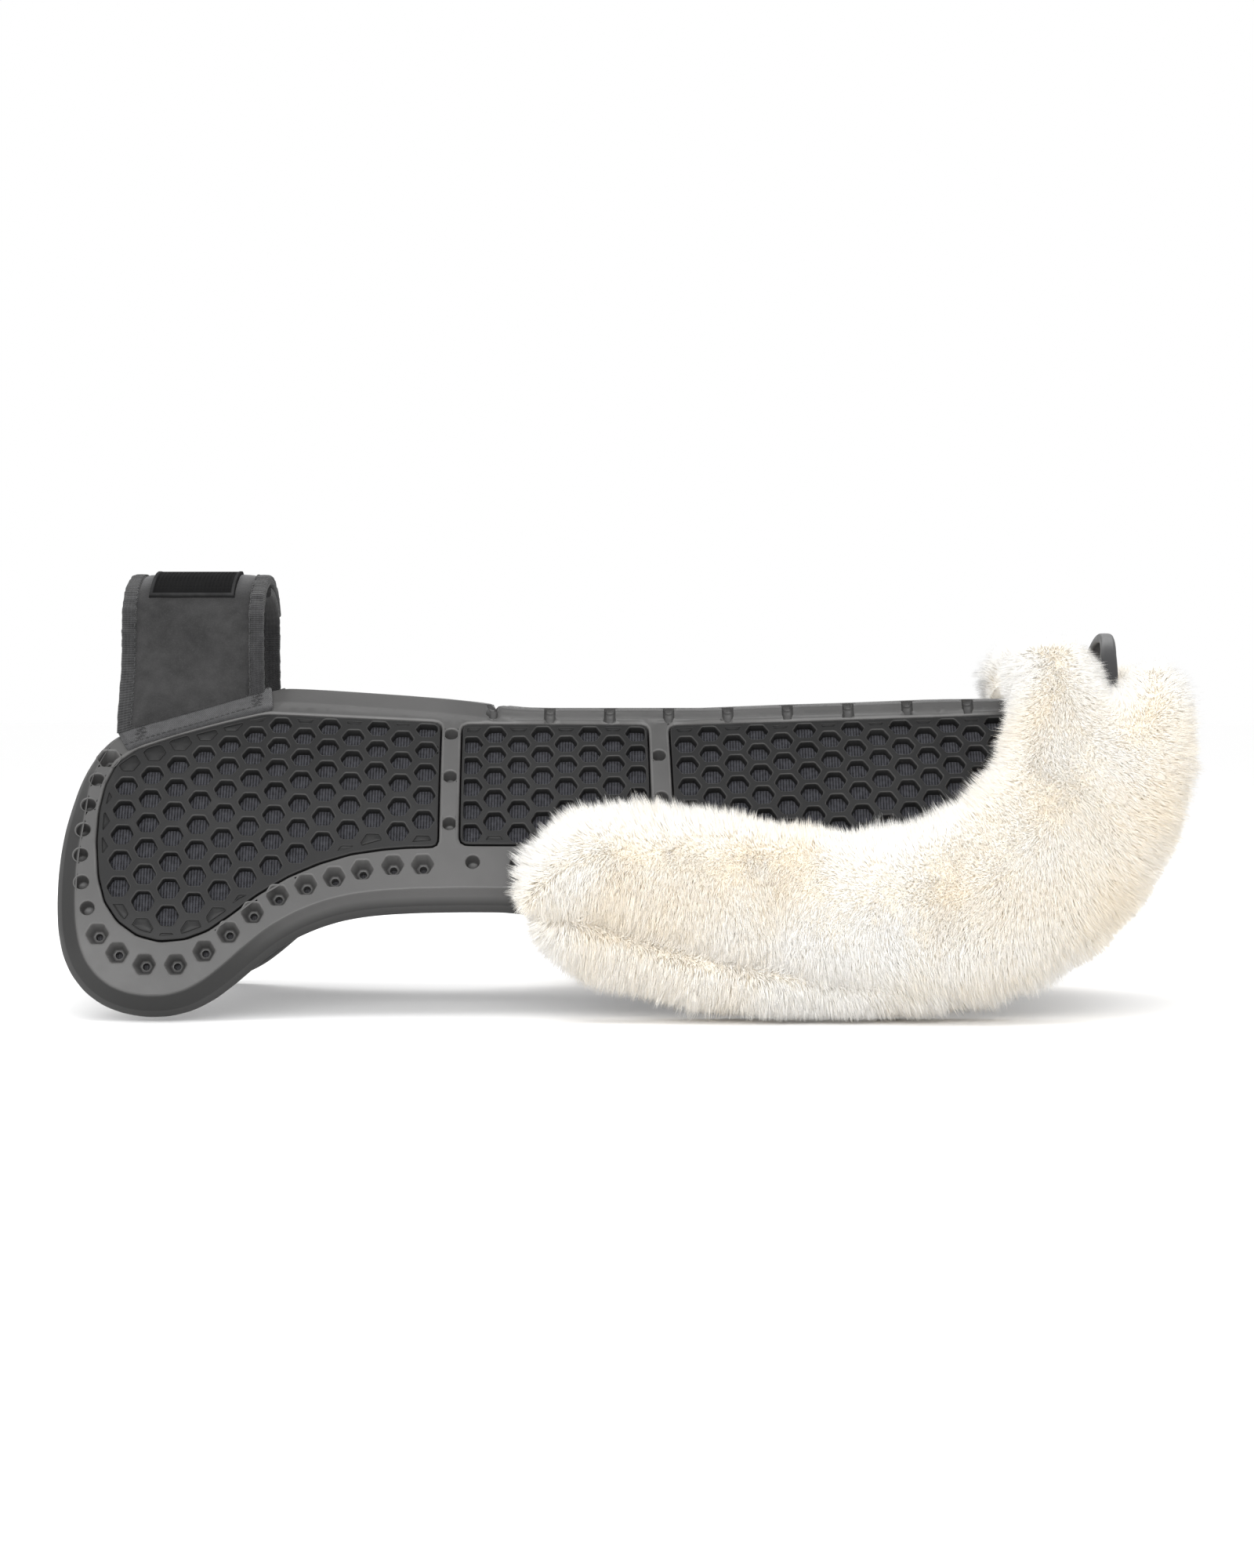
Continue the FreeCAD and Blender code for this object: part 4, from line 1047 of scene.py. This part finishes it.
def section(t, d):
    """(y, z) of the strap's section at depth d below its outer face, and along t as in the CAD."""
    t, d = np.broadcast_arrays(np.asarray(t, float), np.asarray(d, float))
    y, z = np.empty(t.shape), np.empty(t.shape)
    m = t <= 1
    y[m], z[m] = -TOP_Y + d[m], SH_Z - 12 * (1 - t[m])
    m = t >= 4
    y[m], z[m] = TOP_Y - d[m], SH_Z - 12 * (t[m] - 4)
    for lo, hi, c, r, f in ((1, 2, C1, SH_R, lambda u: math.pi - PHI * (u - 1)),
                            (2, 3, C2, CR, lambda u: math.pi - PHI - (math.pi - 2 * PHI) * (u - 2)),
                            (3, 4, (-C1[0], C1[1]), SH_R, lambda u: PHI * (4 - u))):
        m = (t > lo) & (t < hi) | ((t == lo) & (lo > 1)) | ((t == hi) & (hi < 4))
        a = f(t[m])
        y[m], z[m] = c[0] + (r - d[m]) * np.cos(a), c[1] + (r - d[m]) * np.sin(a)
    return y, z


T_LEN = {0: 12.0, 1: SH_R * PHI, 2: CR * (math.pi - 2 * PHI), 3: SH_R * PHI, 4: 12.0}


def arc_len(t):
    t = np.asarray(t, float)
    out = np.zeros(t.shape)
    for k in range(5):
        out += np.clip(t - k, 0, 1) * T_LEN[k]
    return out


Z_JOIN = 186.0


def strap_point(x, v, d, near=True, flap=False):
    """Point on the strap: v < 0 is the leg (v -1 at its foot, 0 at z 186), v >= 0 is t along the section. Far side mirrored for the flap's leg."""
    x, v, d = np.broadcast_arrays(np.asarray(x, float), np.asarray(v, float), np.asarray(d, float))
    y, z = section(np.clip(v, 0, 5), d)
    if near:
        m = v < 0
        u = np.clip(-v, 0, 1)
        sign, dd = 1.0, d
    else:
        m = v > 5
        u = np.clip(v - 5, 0, 1)
        sign, dd = -1.0, d - FLAP_D
    foot = S(x, s_base(x) + 2.0, BR + 2.4)
    ty = -TOP_Y + d
    fy = foot[..., 1] + dd
    w = u * u * (3 - 2 * u) * 0.65 + u * 0.35
    yy = ty + (fy - ty) * w
    zz = Z_JOIN + (foot[..., 2] - Z_JOIN) * u
    y = np.where(m, yy * sign, y)
    z = np.where(m, zz, z)
    return np.stack([x + SHIFT, y, z], -1)


def leg_len(v, near=True):
    return arc_len(np.clip(v, 0, 5)) - np.where(v < 0, -v * 30.0, 0) + np.where(v > 5, (v - 5) * 30.0, 0)


def sheet_piece(name, x0, x1, vs, d0, d1, puff, near, mats, nx=30, edge=0.8, wrinkle=0.0, seed=1):
    """Padded sheet between two edges: closed, softly crowned, with rounded edges."""
    nv = len(vs)
    xs = np.linspace(0, 1, nx)
    X, Vv = np.meshgrid(x0 + (x1 - x0) * xs, vs)
    ux, uv_ = np.meshgrid(xs, np.linspace(0, 1, nv))
    e = np.clip(np.minimum(ux, 1 - ux) * (x1 - x0) / 5.0, 0, 1)
    crown = puff * np.sqrt(np.maximum(1 - (1 - e) ** 2, 0))
    wr = wrinkle * (np.sin(X / 5.1 + Vv * 7 + seed) * np.sin(Vv * 5.3 + X / 13.0) + 0.6 * np.sin(X / 2.9 - Vv * 11 + 2 * seed))
    top = strap_point(X, Vv, d0 - crown + wr * e, near)
    bot = strap_point(X, Vv, d1 + crown * 0.4, near)
    V = np.vstack([top.reshape(-1, 3), bot.reshape(-1, 3)])
    idx = np.arange(nx * nv).reshape(nv, nx)
    q = np.c_[idx[:-1, :-1].ravel(), idx[:-1, 1:].ravel(), idx[1:, 1:].ravel(), idx[1:, :-1].ravel()]
    rim = np.concatenate([idx[0, :-1], idx[:-1, -1], idx[-1, ::-1][:-1], idx[::-1, 0][:-1]])
    o = nx * nv
    side_q = np.c_[rim, np.roll(rim, -1), np.roll(rim, -1) + o, rim + o]
    al = leg_len(Vv).ravel()
    ac = (X - x0).ravel()
    uvm = np.c_[(X.ravel() - x0 + 5) / 110, (al + 60) / 260]
    uvm = np.vstack([uvm, uvm + [0.5, 0]]) * [0.9, 1.0]
    return build(name, V, [q, q[:, ::-1] + o, side_q], "left", mats, uv=uvm,
                 attrs={"along": np.r_[al, al], "across": np.r_[ac, ac], "wear_and_painted_light": np.zeros(2 * o)}, sharp=60, recalc=True)


def binding_piece(name, x0, x1, vs, d0, d1, near, mats):
    """Folded tape over a strap's edge: a flattened round section swept along the strap."""
    k = 20
    th = np.linspace(0, 2 * math.pi, k, endpoint=False)
    sx = np.sign(np.cos(th)) * np.abs(np.cos(th)) ** 0.45
    sd = np.sign(np.sin(th)) * np.abs(np.sin(th)) ** 0.6
    cx, cd, hx, hd = (x0 + x1) / 2, (d0 + d1) / 2, (x1 - x0) / 2, (d1 - d0) / 2
    nv = len(vs)
    wob = 0.18 * np.sin(np.arange(nv) * 0.9) + 0.12 * np.sin(np.arange(nv) * 2.3 + 1)
    X = cx + hx * sx[None] + wob[:, None] * 0.6
    vv = np.asarray(vs, float)
    fold = step01(0.5, 1.0, vv) * (1 - step01(2.3, 2.9, vv)) + step01(2.7, 3.1, vv) * (1 - step01(4.0, 4.6, vv))
    pucker = fold * (0.55 * np.sin(arc_len(np.clip(vv, 0, 5)) * 1.05 + x0) + 0.35 * np.sin(arc_len(np.clip(vv, 0, 5)) * 0.47 + 1.3))
    Dp = cd + pucker[:, None] * (sd[None] < 0.2) + hd * sd[None] * (1 + 0.05 * np.sin(np.arange(nv) * 1.7)[:, None])
    Vv = np.repeat(np.asarray(vs)[:, None], k, 1)
    P = strap_point(X, Vv, Dp, near)
    idx = np.arange(nv * k).reshape(nv, k)
    q = np.c_[idx[:-1].ravel(), np.roll(idx, -1, 1)[:-1].ravel(), np.roll(idx, -1, 1)[1:].ravel(), idx[1:].ravel()]
    V = P.reshape(-1, 3)
    c0, c1 = V[idx[0]].mean(0), V[idx[-1]].mean(0)
    V = np.vstack([V, c0, c1])
    t0 = np.c_[np.roll(idx[0], -1), idx[0], np.full(k, nv * k)]
    t1 = np.c_[idx[-1], np.roll(idx[-1], -1), np.full(k, nv * k + 1)]
    al = leg_len(Vv).ravel()
    ac = (th[None] / (2 * math.pi) * 22 + 0 * Vv).ravel()
    uvm = np.c_[ac / 24 * 0.9, (al + 60) / 260]
    uvm = np.vstack([uvm, uvm[:1], uvm[-1:]])
    return build(name, V, [q, np.vstack([t0, t1])], "left", mats, uv=uvm,
                 attrs={"along": np.r_[al, al[0], al[-1]], "across": np.r_[ac, 0, 0], "wear_and_painted_light": np.zeros(len(V))}, sharp=70, recalc=True)


def capsules(name, A, B, up, rad, mats, sink=0.15):
    """Stitches: short flattened capsules from A to B, standing off the cloth along up."""
    A, B, up = (np.asarray(a, float) for a in (A, B, up))
    n, K, M = len(A), 6, 5
    T = B - A
    L = np.linalg.norm(T, axis=1)[:, None]
    T = T / L
    Sd = np.cross(T, up)
    Sd /= np.linalg.norm(Sd, axis=1)[:, None]
    Up = np.cross(Sd, T)
    V = np.empty((n, M * K, 3))
    al = np.empty((n, M * K))
    prof = [(0.02, 0.35), (0.16, 0.9), (0.5, 1.05), (0.84, 0.9), (0.98, 0.35)]
    for m, (t, f) in enumerate(prof):
        C = A + (B - A) * t + Up * (rad * (0.55 * math.sin(math.pi * t) - sink))
        for j in range(K):
            a = 2 * math.pi * j / K
            V[:, m * K + j] = C + (Sd * math.cos(a) + Up * math.sin(a)) * rad * f
            al[:, m * K + j] = t * L[:, 0]
    base = (np.arange(n) * M * K)[:, None]
    quads = []
    for m in range(M - 1):
        for j in range(K):
            j2 = (j + 1) % K
            quads.append(base + np.array([[m * K + j, m * K + j2, (m + 1) * K + j2, (m + 1) * K + j]]))
    quads = np.vstack(quads)
    caps = []
    for j in range(1, K - 1):
        caps.append(base + np.array([[0, j + 1, j]]))
        o = (M - 1) * K
        caps.append(base + np.array([[o, o + j, o + j + 1]]))
    V = V.reshape(-1, 3)
    al = al.reshape(-1)
    uv = np.c_[(al % 3.0) / 3.2 + 0.02, np.tile(np.tile(np.arange(K) / K, M), n)]
    return V, quads, np.vstack(caps), uv, al


def stitches(name, paths, mats, pitch=3.3, gap=0.75, rad=0.32):
    """paths: list of (points, ups) polylines in mm; one mesh of all their stitches."""
    As, Bs, Us = [], [], []
    for P, U in paths:
        P, U = np.asarray(P, float), np.asarray(U, float)
        seg = np.linalg.norm(np.diff(P, axis=0), axis=1)
        L = np.r_[0, np.cumsum(seg)]
        n = int(L[-1] // pitch)
        for i in range(n):
            a, b = i * pitch, (i + 1) * pitch - gap
            As.append([np.interp(a, L, P[:, k]) for k in range(3)])
            Bs.append([np.interp(b, L, P[:, k]) for k in range(3)])
            Us.append([np.interp((a + b) / 2, L, U[:, k]) for k in range(3)])
    V, q, t, uv, al = capsules(name, As, Bs, Us, rad, mats)
    return build(name, V, [q, t], "left", mats, uv=uv, attrs={"along": al, "across": al * 0, "wear_and_painted_light": al * 0})


def path_line(x, vs, d, near):
    P = strap_point(np.full(len(vs), x), np.asarray(vs, float), d, near)
    Q = strap_point(np.full(len(vs), x), np.asarray(vs, float), d + 1.0, near)
    U = P - Q
    return P, U / np.linalg.norm(U, axis=1)[:, None]


# the foot's slope gives the direction in which the cloth passes from panel to strap
foot_a, foot_b = S(-264.6, s_base(-264.6), BR)[()], S(-190.2, s_base(-190.2), BR)[()]
slope_dir = np.array([foot_b[0] - foot_a[0], 0, foot_b[2] - foot_a[2]])
slope_dir /= np.linalg.norm(slope_dir)


leg_v = np.linspace(-1, 0, 22)
crown_v = np.r_[np.linspace(0, 0.999, 14), np.linspace(1.03, 2, 12), np.linspace(2.06, 3, 18), np.linspace(3.05, 3.55, 7)]
far_v = np.r_[np.linspace(2.36, 3, 10), np.linspace(3.06, 4, 12), np.linspace(4.1, 5, 6), np.linspace(5.05, 6, 20)]


def to_base(o):
    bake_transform(o)


def to_crown(o):
    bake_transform(o)


o = sheet_piece("near_leg", XA - 0.6, XB + 0.6, leg_v, 0.0, STRAP_T, 1.0, True, [M_SUEDE], wrinkle=0.16)
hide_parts("strap_leg"); to_base(o)
o = binding_piece("near_leg_tape_front", SX0, XA, leg_v, -0.9, STRAP_T + 0.9, True, [M_BIND])
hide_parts("strap_leg_binding_front"); to_base(o)
o = binding_piece("near_leg_tape_rear", XB, SX1, leg_v, -0.9, STRAP_T + 0.9, True, [M_BIND])
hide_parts("strap_leg_binding_rear"); to_base(o)
o = sheet_piece("crown_flap", XA - 0.6, XB + 0.6, crown_v, 0.0, STRAP_T, 1.0, True, [M_SUEDE], wrinkle=0.14)
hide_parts("strap_crown"); to_crown(o)
o = binding_piece("crown_tape_front", SX0, XA, crown_v, -0.9, STRAP_T + 0.7, True, [M_BIND])
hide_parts("crown_binding_front"); to_crown(o)
o = binding_piece("crown_tape_rear", XB, SX1, crown_v, -0.9, STRAP_T + 0.7, True, [M_BIND])
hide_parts("crown_binding_rear"); to_crown(o)
o = sheet_piece("far_flap", XA - 0.6, XB + 0.6, far_v, FLAP_D + 0.5, FLAP_D + STRAP_T, 0.5, False, [M_SUEDE], wrinkle=0.1)
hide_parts("short_flap"); to_base(o)
o = binding_piece("far_flap_tape_front", SX0, XA, far_v, FLAP_D - 0.5, FLAP_D + STRAP_T + 0.6, False, [M_BIND])
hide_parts("flap_binding_front"); to_base(o)
o = binding_piece("far_flap_tape_rear", XB, SX1, far_v, FLAP_D - 0.5, FLAP_D + STRAP_T + 0.6, False, [M_BIND])
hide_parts("flap_binding_rear"); to_base(o)

# hook and loop faces
hv = np.linspace(2.45, 3.5, 24)
o = sheet_piece("hook_face", XA + 1, XB - 1, hv, STRAP_T + 0.35, STRAP_T + 0.85, 0.1, True, [M_HOOK])
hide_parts("hook_patch"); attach(o, "strap_closure")
hv = np.linspace(2.4, 3.95, 30)
o = sheet_piece("loop_face", XA + 1, XB - 1, hv, FLAP_D - 0.8, FLAP_D + 0.2, 0.1, True, [M_HOOK])
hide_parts("loop_patch"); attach(o, "spine_strap")

# seams along the inner edge of each binding
legs_paths, crown_paths, far_paths = [], [], []
for x in (XA - 1.0, XB + 1.0):
    legs_paths.append(path_line(x, leg_v[1:], -0.85, True))
    crown_paths.append(path_line(x, crown_v, -0.85, True))
    far_paths.append(path_line(x, far_v[12:], FLAP_D - 0.45, False))
o = stitches("near_leg_stitches", legs_paths, [M_THREAD]); to_base(o)
o = stitches("crown_stitches", crown_paths, [M_THREAD]); to_crown(o)
o = stitches("far_flap_stitches", far_paths, [M_THREAD]); to_base(o)


def base_piece(side):
    top = [(-265.0, 19.0), (-250.0, 12.6), (-235.0, 6.4), (-220.0, 0.6), (-205.0, -6.0), (-187.0, -13.2)]
    low = [(-184.8, 3.5), (-205.0, 10.0), (-220.0, 15.5), (-235.0, 21.5), (-250.0, 28.0), (-258.0, 32.5)]
    P = smooth_closed(top + low, 2.0, 1.0)
    outer = [(off(P, a), d, w) for a, d, w in ((1.6, 0.0, 0), (0.8, 1.2, 0.3), (0.2, 4.0, 0.2), (0.0, 7.0, 0), (0.1, 12.0, 0))]
    o = plate(side + "_base_tape", outer, [], lambda x, s: np.full(np.shape(x), BR + 2.5), BR - 0.1, side, [M_TWILL], grid=(3.0, 3.0), sharp=60, full=12.0)
    me = o.data
    co = np.zeros(len(me.vertices) * 3, np.float32)
    me.vertices.foreach_get("co", co)
    co = co.reshape(-1, 3) * 1000
    for key, val in (("along", co[:, 0] * 0.96 + co[:, 2] * 0.3), ("across", co[:, 2] * 1.2)):
        at = me.attributes.new(key, "FLOAT", "POINT")
        at.data.foreach_set("value", val.astype(np.float32))
    return o


def surface_path(pts, r, n=None):
    pts = np.asarray(pts, float)
    P = S(pts[:, 0], pts[:, 1], r)
    a = AT + pts[:, 1] / BR
    return P, np.stack([0 * a, -np.sin(a), np.cos(a)], 1)


for side in ("left", "right"):
    o = base_piece(side)
    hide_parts(side + "_strap_base"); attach(o, side + "_panel")
    xs = np.linspace(-260, -189, 40)
    rows = [surface_path(np.c_[xs, s_base(xs) + 11.6], BR + 2.6), surface_path(np.c_[xs, s_base(xs) + 2.0], BR + 2.9)]
    for xc in (-252.0, -193.5):
        z = [(xc + (3.2 if i % 2 else -3.2), s_base(xc) + 2.5 + 9.0 * i / 7) for i in range(8)]
        rows.append(surface_path(z, BR + 2.75))
    o = stitches(side + "_base_stitches", rows, [M_THREAD], pitch=2.9, gap=0.5, rad=0.34)
    if side == "right":
        o.data.transform(Matrix.Scale(-1, 4, (0, 1, 0)))
        o.data.flip_normals()
    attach(o, side + "_panel")


# badge on the crown: raised rim round a ribbed field, with no mark on it
def badge():
    nx, nv = 100, 84
    bx, bv = np.linspace(-251.0, -206.0, nx), np.linspace(1.72, 2.56, nv)
    X, Vv = np.meshgrid(bx, bv)
    al = arc_len(Vv)
    a0, a1 = arc_len(1.72), arc_len(2.56)
    e = np.minimum(np.minimum(X + 251.0, -206.0 - X), np.minimum(al - a0, a1 - al))
    rim = step01(0.0, 0.5, e) * (1 - step01(1.7, 2.1, e))
    rib = (0.5 + 0.5 * np.cos(2 * math.pi * X / 2.0)) * (0.5 + 0.5 * np.cos(2 * math.pi * al / 2.0)) * step01(2.4, 2.8, e)
    h = 1.25 + 0.75 * rim + 0.45 * rib - 1.0 * (1 - step01(0.0, 0.35, e))
    top = strap_point(X, Vv, -h - 0.9, True)
    bot = strap_point(X, Vv, np.full(X.shape, -0.2), True)
    idx = np.arange(nx * nv).reshape(nv, nx)
    q = np.c_[idx[:-1, :-1].ravel(), idx[:-1, 1:].ravel(), idx[1:, 1:].ravel(), idx[1:, :-1].ravel()]
    ringi = np.concatenate([idx[0, :-1], idx[:-1, -1], idx[-1, ::-1][:-1], idx[::-1, 0][:-1]])
    o_ = nx * nv
    side_q = np.c_[ringi, np.roll(ringi, -1), np.roll(ringi, -1) + o_, ringi + o_]
    uv = np.c_[(X.ravel() + 251) / 100, (al.ravel() - a0) / 100]
    return build("badge", np.vstack([top.reshape(-1, 3), bot.reshape(-1, 3)]), [q, q[:, ::-1] + o_, side_q], "left", [M_BADGE],
                 uv=np.vstack([uv, uv + 0.5]), attrs={"wear_and_painted_light": np.r_[(rim * 0.5).ravel(), np.zeros(o_)]}, sharp=45, recalc=True)


o = badge()
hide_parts("rubber_badge"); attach(o, "strap_closure")


# --------------------------------------------------------------- rear bridge
def bridge(side):
    """Half of the rubber arch, from the crown down to its foot on the panel."""
    n, k = 44, 20
    th = np.linspace(0, 2 * math.pi, k, endpoint=False)
    sx = np.sign(np.cos(th)) * np.abs(np.cos(th)) ** 0.5
    sr = np.sign(np.sin(th)) * np.abs(np.sin(th)) ** 0.6
    foot = S(252.0, 6.0, BR + 2.0)[()]
    A = []
    for t in np.linspace(0, 1, n):
        ang = math.radians(90 + 72 * t)
        A.append([257.0, 43.3 * math.cos(ang), 151.2 + 43.3 * math.sin(ang)])
    A = np.array(A)
    ext = np.array([[257.0, A[-1, 1] + (foot[1] - A[-1, 1]) * u, A[-1, 2] + (foot[2] - A[-1, 2]) * u] for u in np.linspace(0.15, 1, 7)])
    C = np.vstack([A, ext])
    T = np.gradient(C, axis=0)
    T /= np.linalg.norm(T, axis=1)[:, None]
    Nr = np.cross(np.array([1.0, 0, 0]), T)
    z = C[:, 2]
    x_lo = np.interp(z, [160, 184, 194.5], [247.5, 250.0, 252.6])
    x_hi = np.interp(z, [160, 184, 194.5], [257.5, 258.6, 260.0])
    th_r = np.interp(z, [158, 170, 194.5], [3.4, 3.2, 2.8])
    V = np.empty((len(C), k, 3))
    for i in range(len(C)):
        cx, hx = (x_lo[i] + x_hi[i]) / 2, (x_hi[i] - x_lo[i]) / 2
        V[i, :, 0] = cx + hx * sx + SHIFT
        V[i, :, 1] = C[i, 1] + Nr[i, 1] * sr * th_r[i]
        V[i, :, 2] = C[i, 2] + Nr[i, 2] * sr * th_r[i]
    idx = np.arange(len(C) * k).reshape(len(C), k)
    q = np.c_[idx[:-1].ravel(), np.roll(idx, -1, 1)[:-1].ravel(), np.roll(idx, -1, 1)[1:].ravel(), idx[1:].ravel()]
    V = V.reshape(-1, 3)
    c0, c1 = V[idx[0]].mean(0), V[idx[-1]].mean(0)
    V = np.vstack([V, c0, c1])
    t0 = np.c_[np.roll(idx[0], -1), idx[0], np.full(k, len(V) - 2)]
    t1 = np.c_[idx[-1], np.roll(idx[-1], -1), np.full(k, len(V) - 1)]
    # the faces toward front and back get a positive wear weight: a painted highlight, not wear
    w = np.tile(np.where(np.abs(sx) > 0.9, 0.5, 0.0), len(C))
    uv = np.c_[np.tile(th / 6.3, len(C)), np.repeat(np.linspace(0, 1, len(C)), k)]
    uv = np.vstack([uv, uv[:1], uv[-1:]])
    return build(side + "_bridge_half", V, [q, np.vstack([t0, t1])], side, [M_BRIDGE], uv=uv, attrs={"wear_and_painted_light": np.r_[w, 0, 0]}, sharp=60, recalc=True)


for side, sg in (("left", -1), ("right", 1)):
    o = bridge(side)
    if side == "left":
        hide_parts("rear_bridge", "left_bridge_tab")
    else:
        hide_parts("right_bridge_tab")
    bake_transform(o)

# ------------------------------------------------------------ floor and light
fm, fnt, fbs = node_mat("pale_floor")
fv = mapping(fnt)
fnt.links.new(mixc(fnt, noise(fnt, fv, 3.0, 2), (0.99, 0.99, 0.99), (0.995, 0.995, 0.995)), fbs.inputs["Base Color"])
fbs.inputs["Roughness"].default_value = 0.8
me = bpy.data.meshes.new("floor")
me.from_pydata([(-30, -30, -0.0006), (30, -30, -0.0006), (30, 30, -0.0006), (-30, 30, -0.0006)], [], [(0, 1, 2, 3)])
me.materials.append(fm)
floor = bpy.data.objects.new("floor", me)
bpy.context.scene.collection.objects.link(floor)

world = bpy.data.worlds.new("studio")
world.use_nodes = True
wn = world.node_tree
wn.nodes["Background"].inputs[0].default_value = (1.0, 1.0, 1.0, 1.0)
wn.nodes["Background"].inputs[1].default_value = 1.0
bpy.context.scene.world = world


def area(name, loc, target, size, power):
    L = bpy.data.lights.new(name, "AREA")
    L.shape, L.size, L.size_y, L.energy = "RECTANGLE", size[0], size[1], power
    ob = bpy.data.objects.new(name, L)
    ob.location = loc
    ob.rotation_euler = (Vector(target) - Vector(loc)).to_track_quat("-Z", "Y").to_euler()
    bpy.context.scene.collection.objects.link(ob)


area("key", (-0.45, -1.15, 2.0), (0, 0, 0.1), (1.3, 0.9), 13)
area("fill", (-0.2, -2.2, 0.7), (0.0, 0, 0.08), (2.2, 1.1), 48)
area("back", (0.2, 1.4, 1.7), (0, 0, 0.1), (1.6, 0.8), 14)
bpy.context.scene.view_settings.view_transform = "Standard"
bpy.context.scene.cycles.diffuse_bounces = 12  # light scatters many times inside pale fleece
bpy.context.scene.cycles.max_bounces = 16
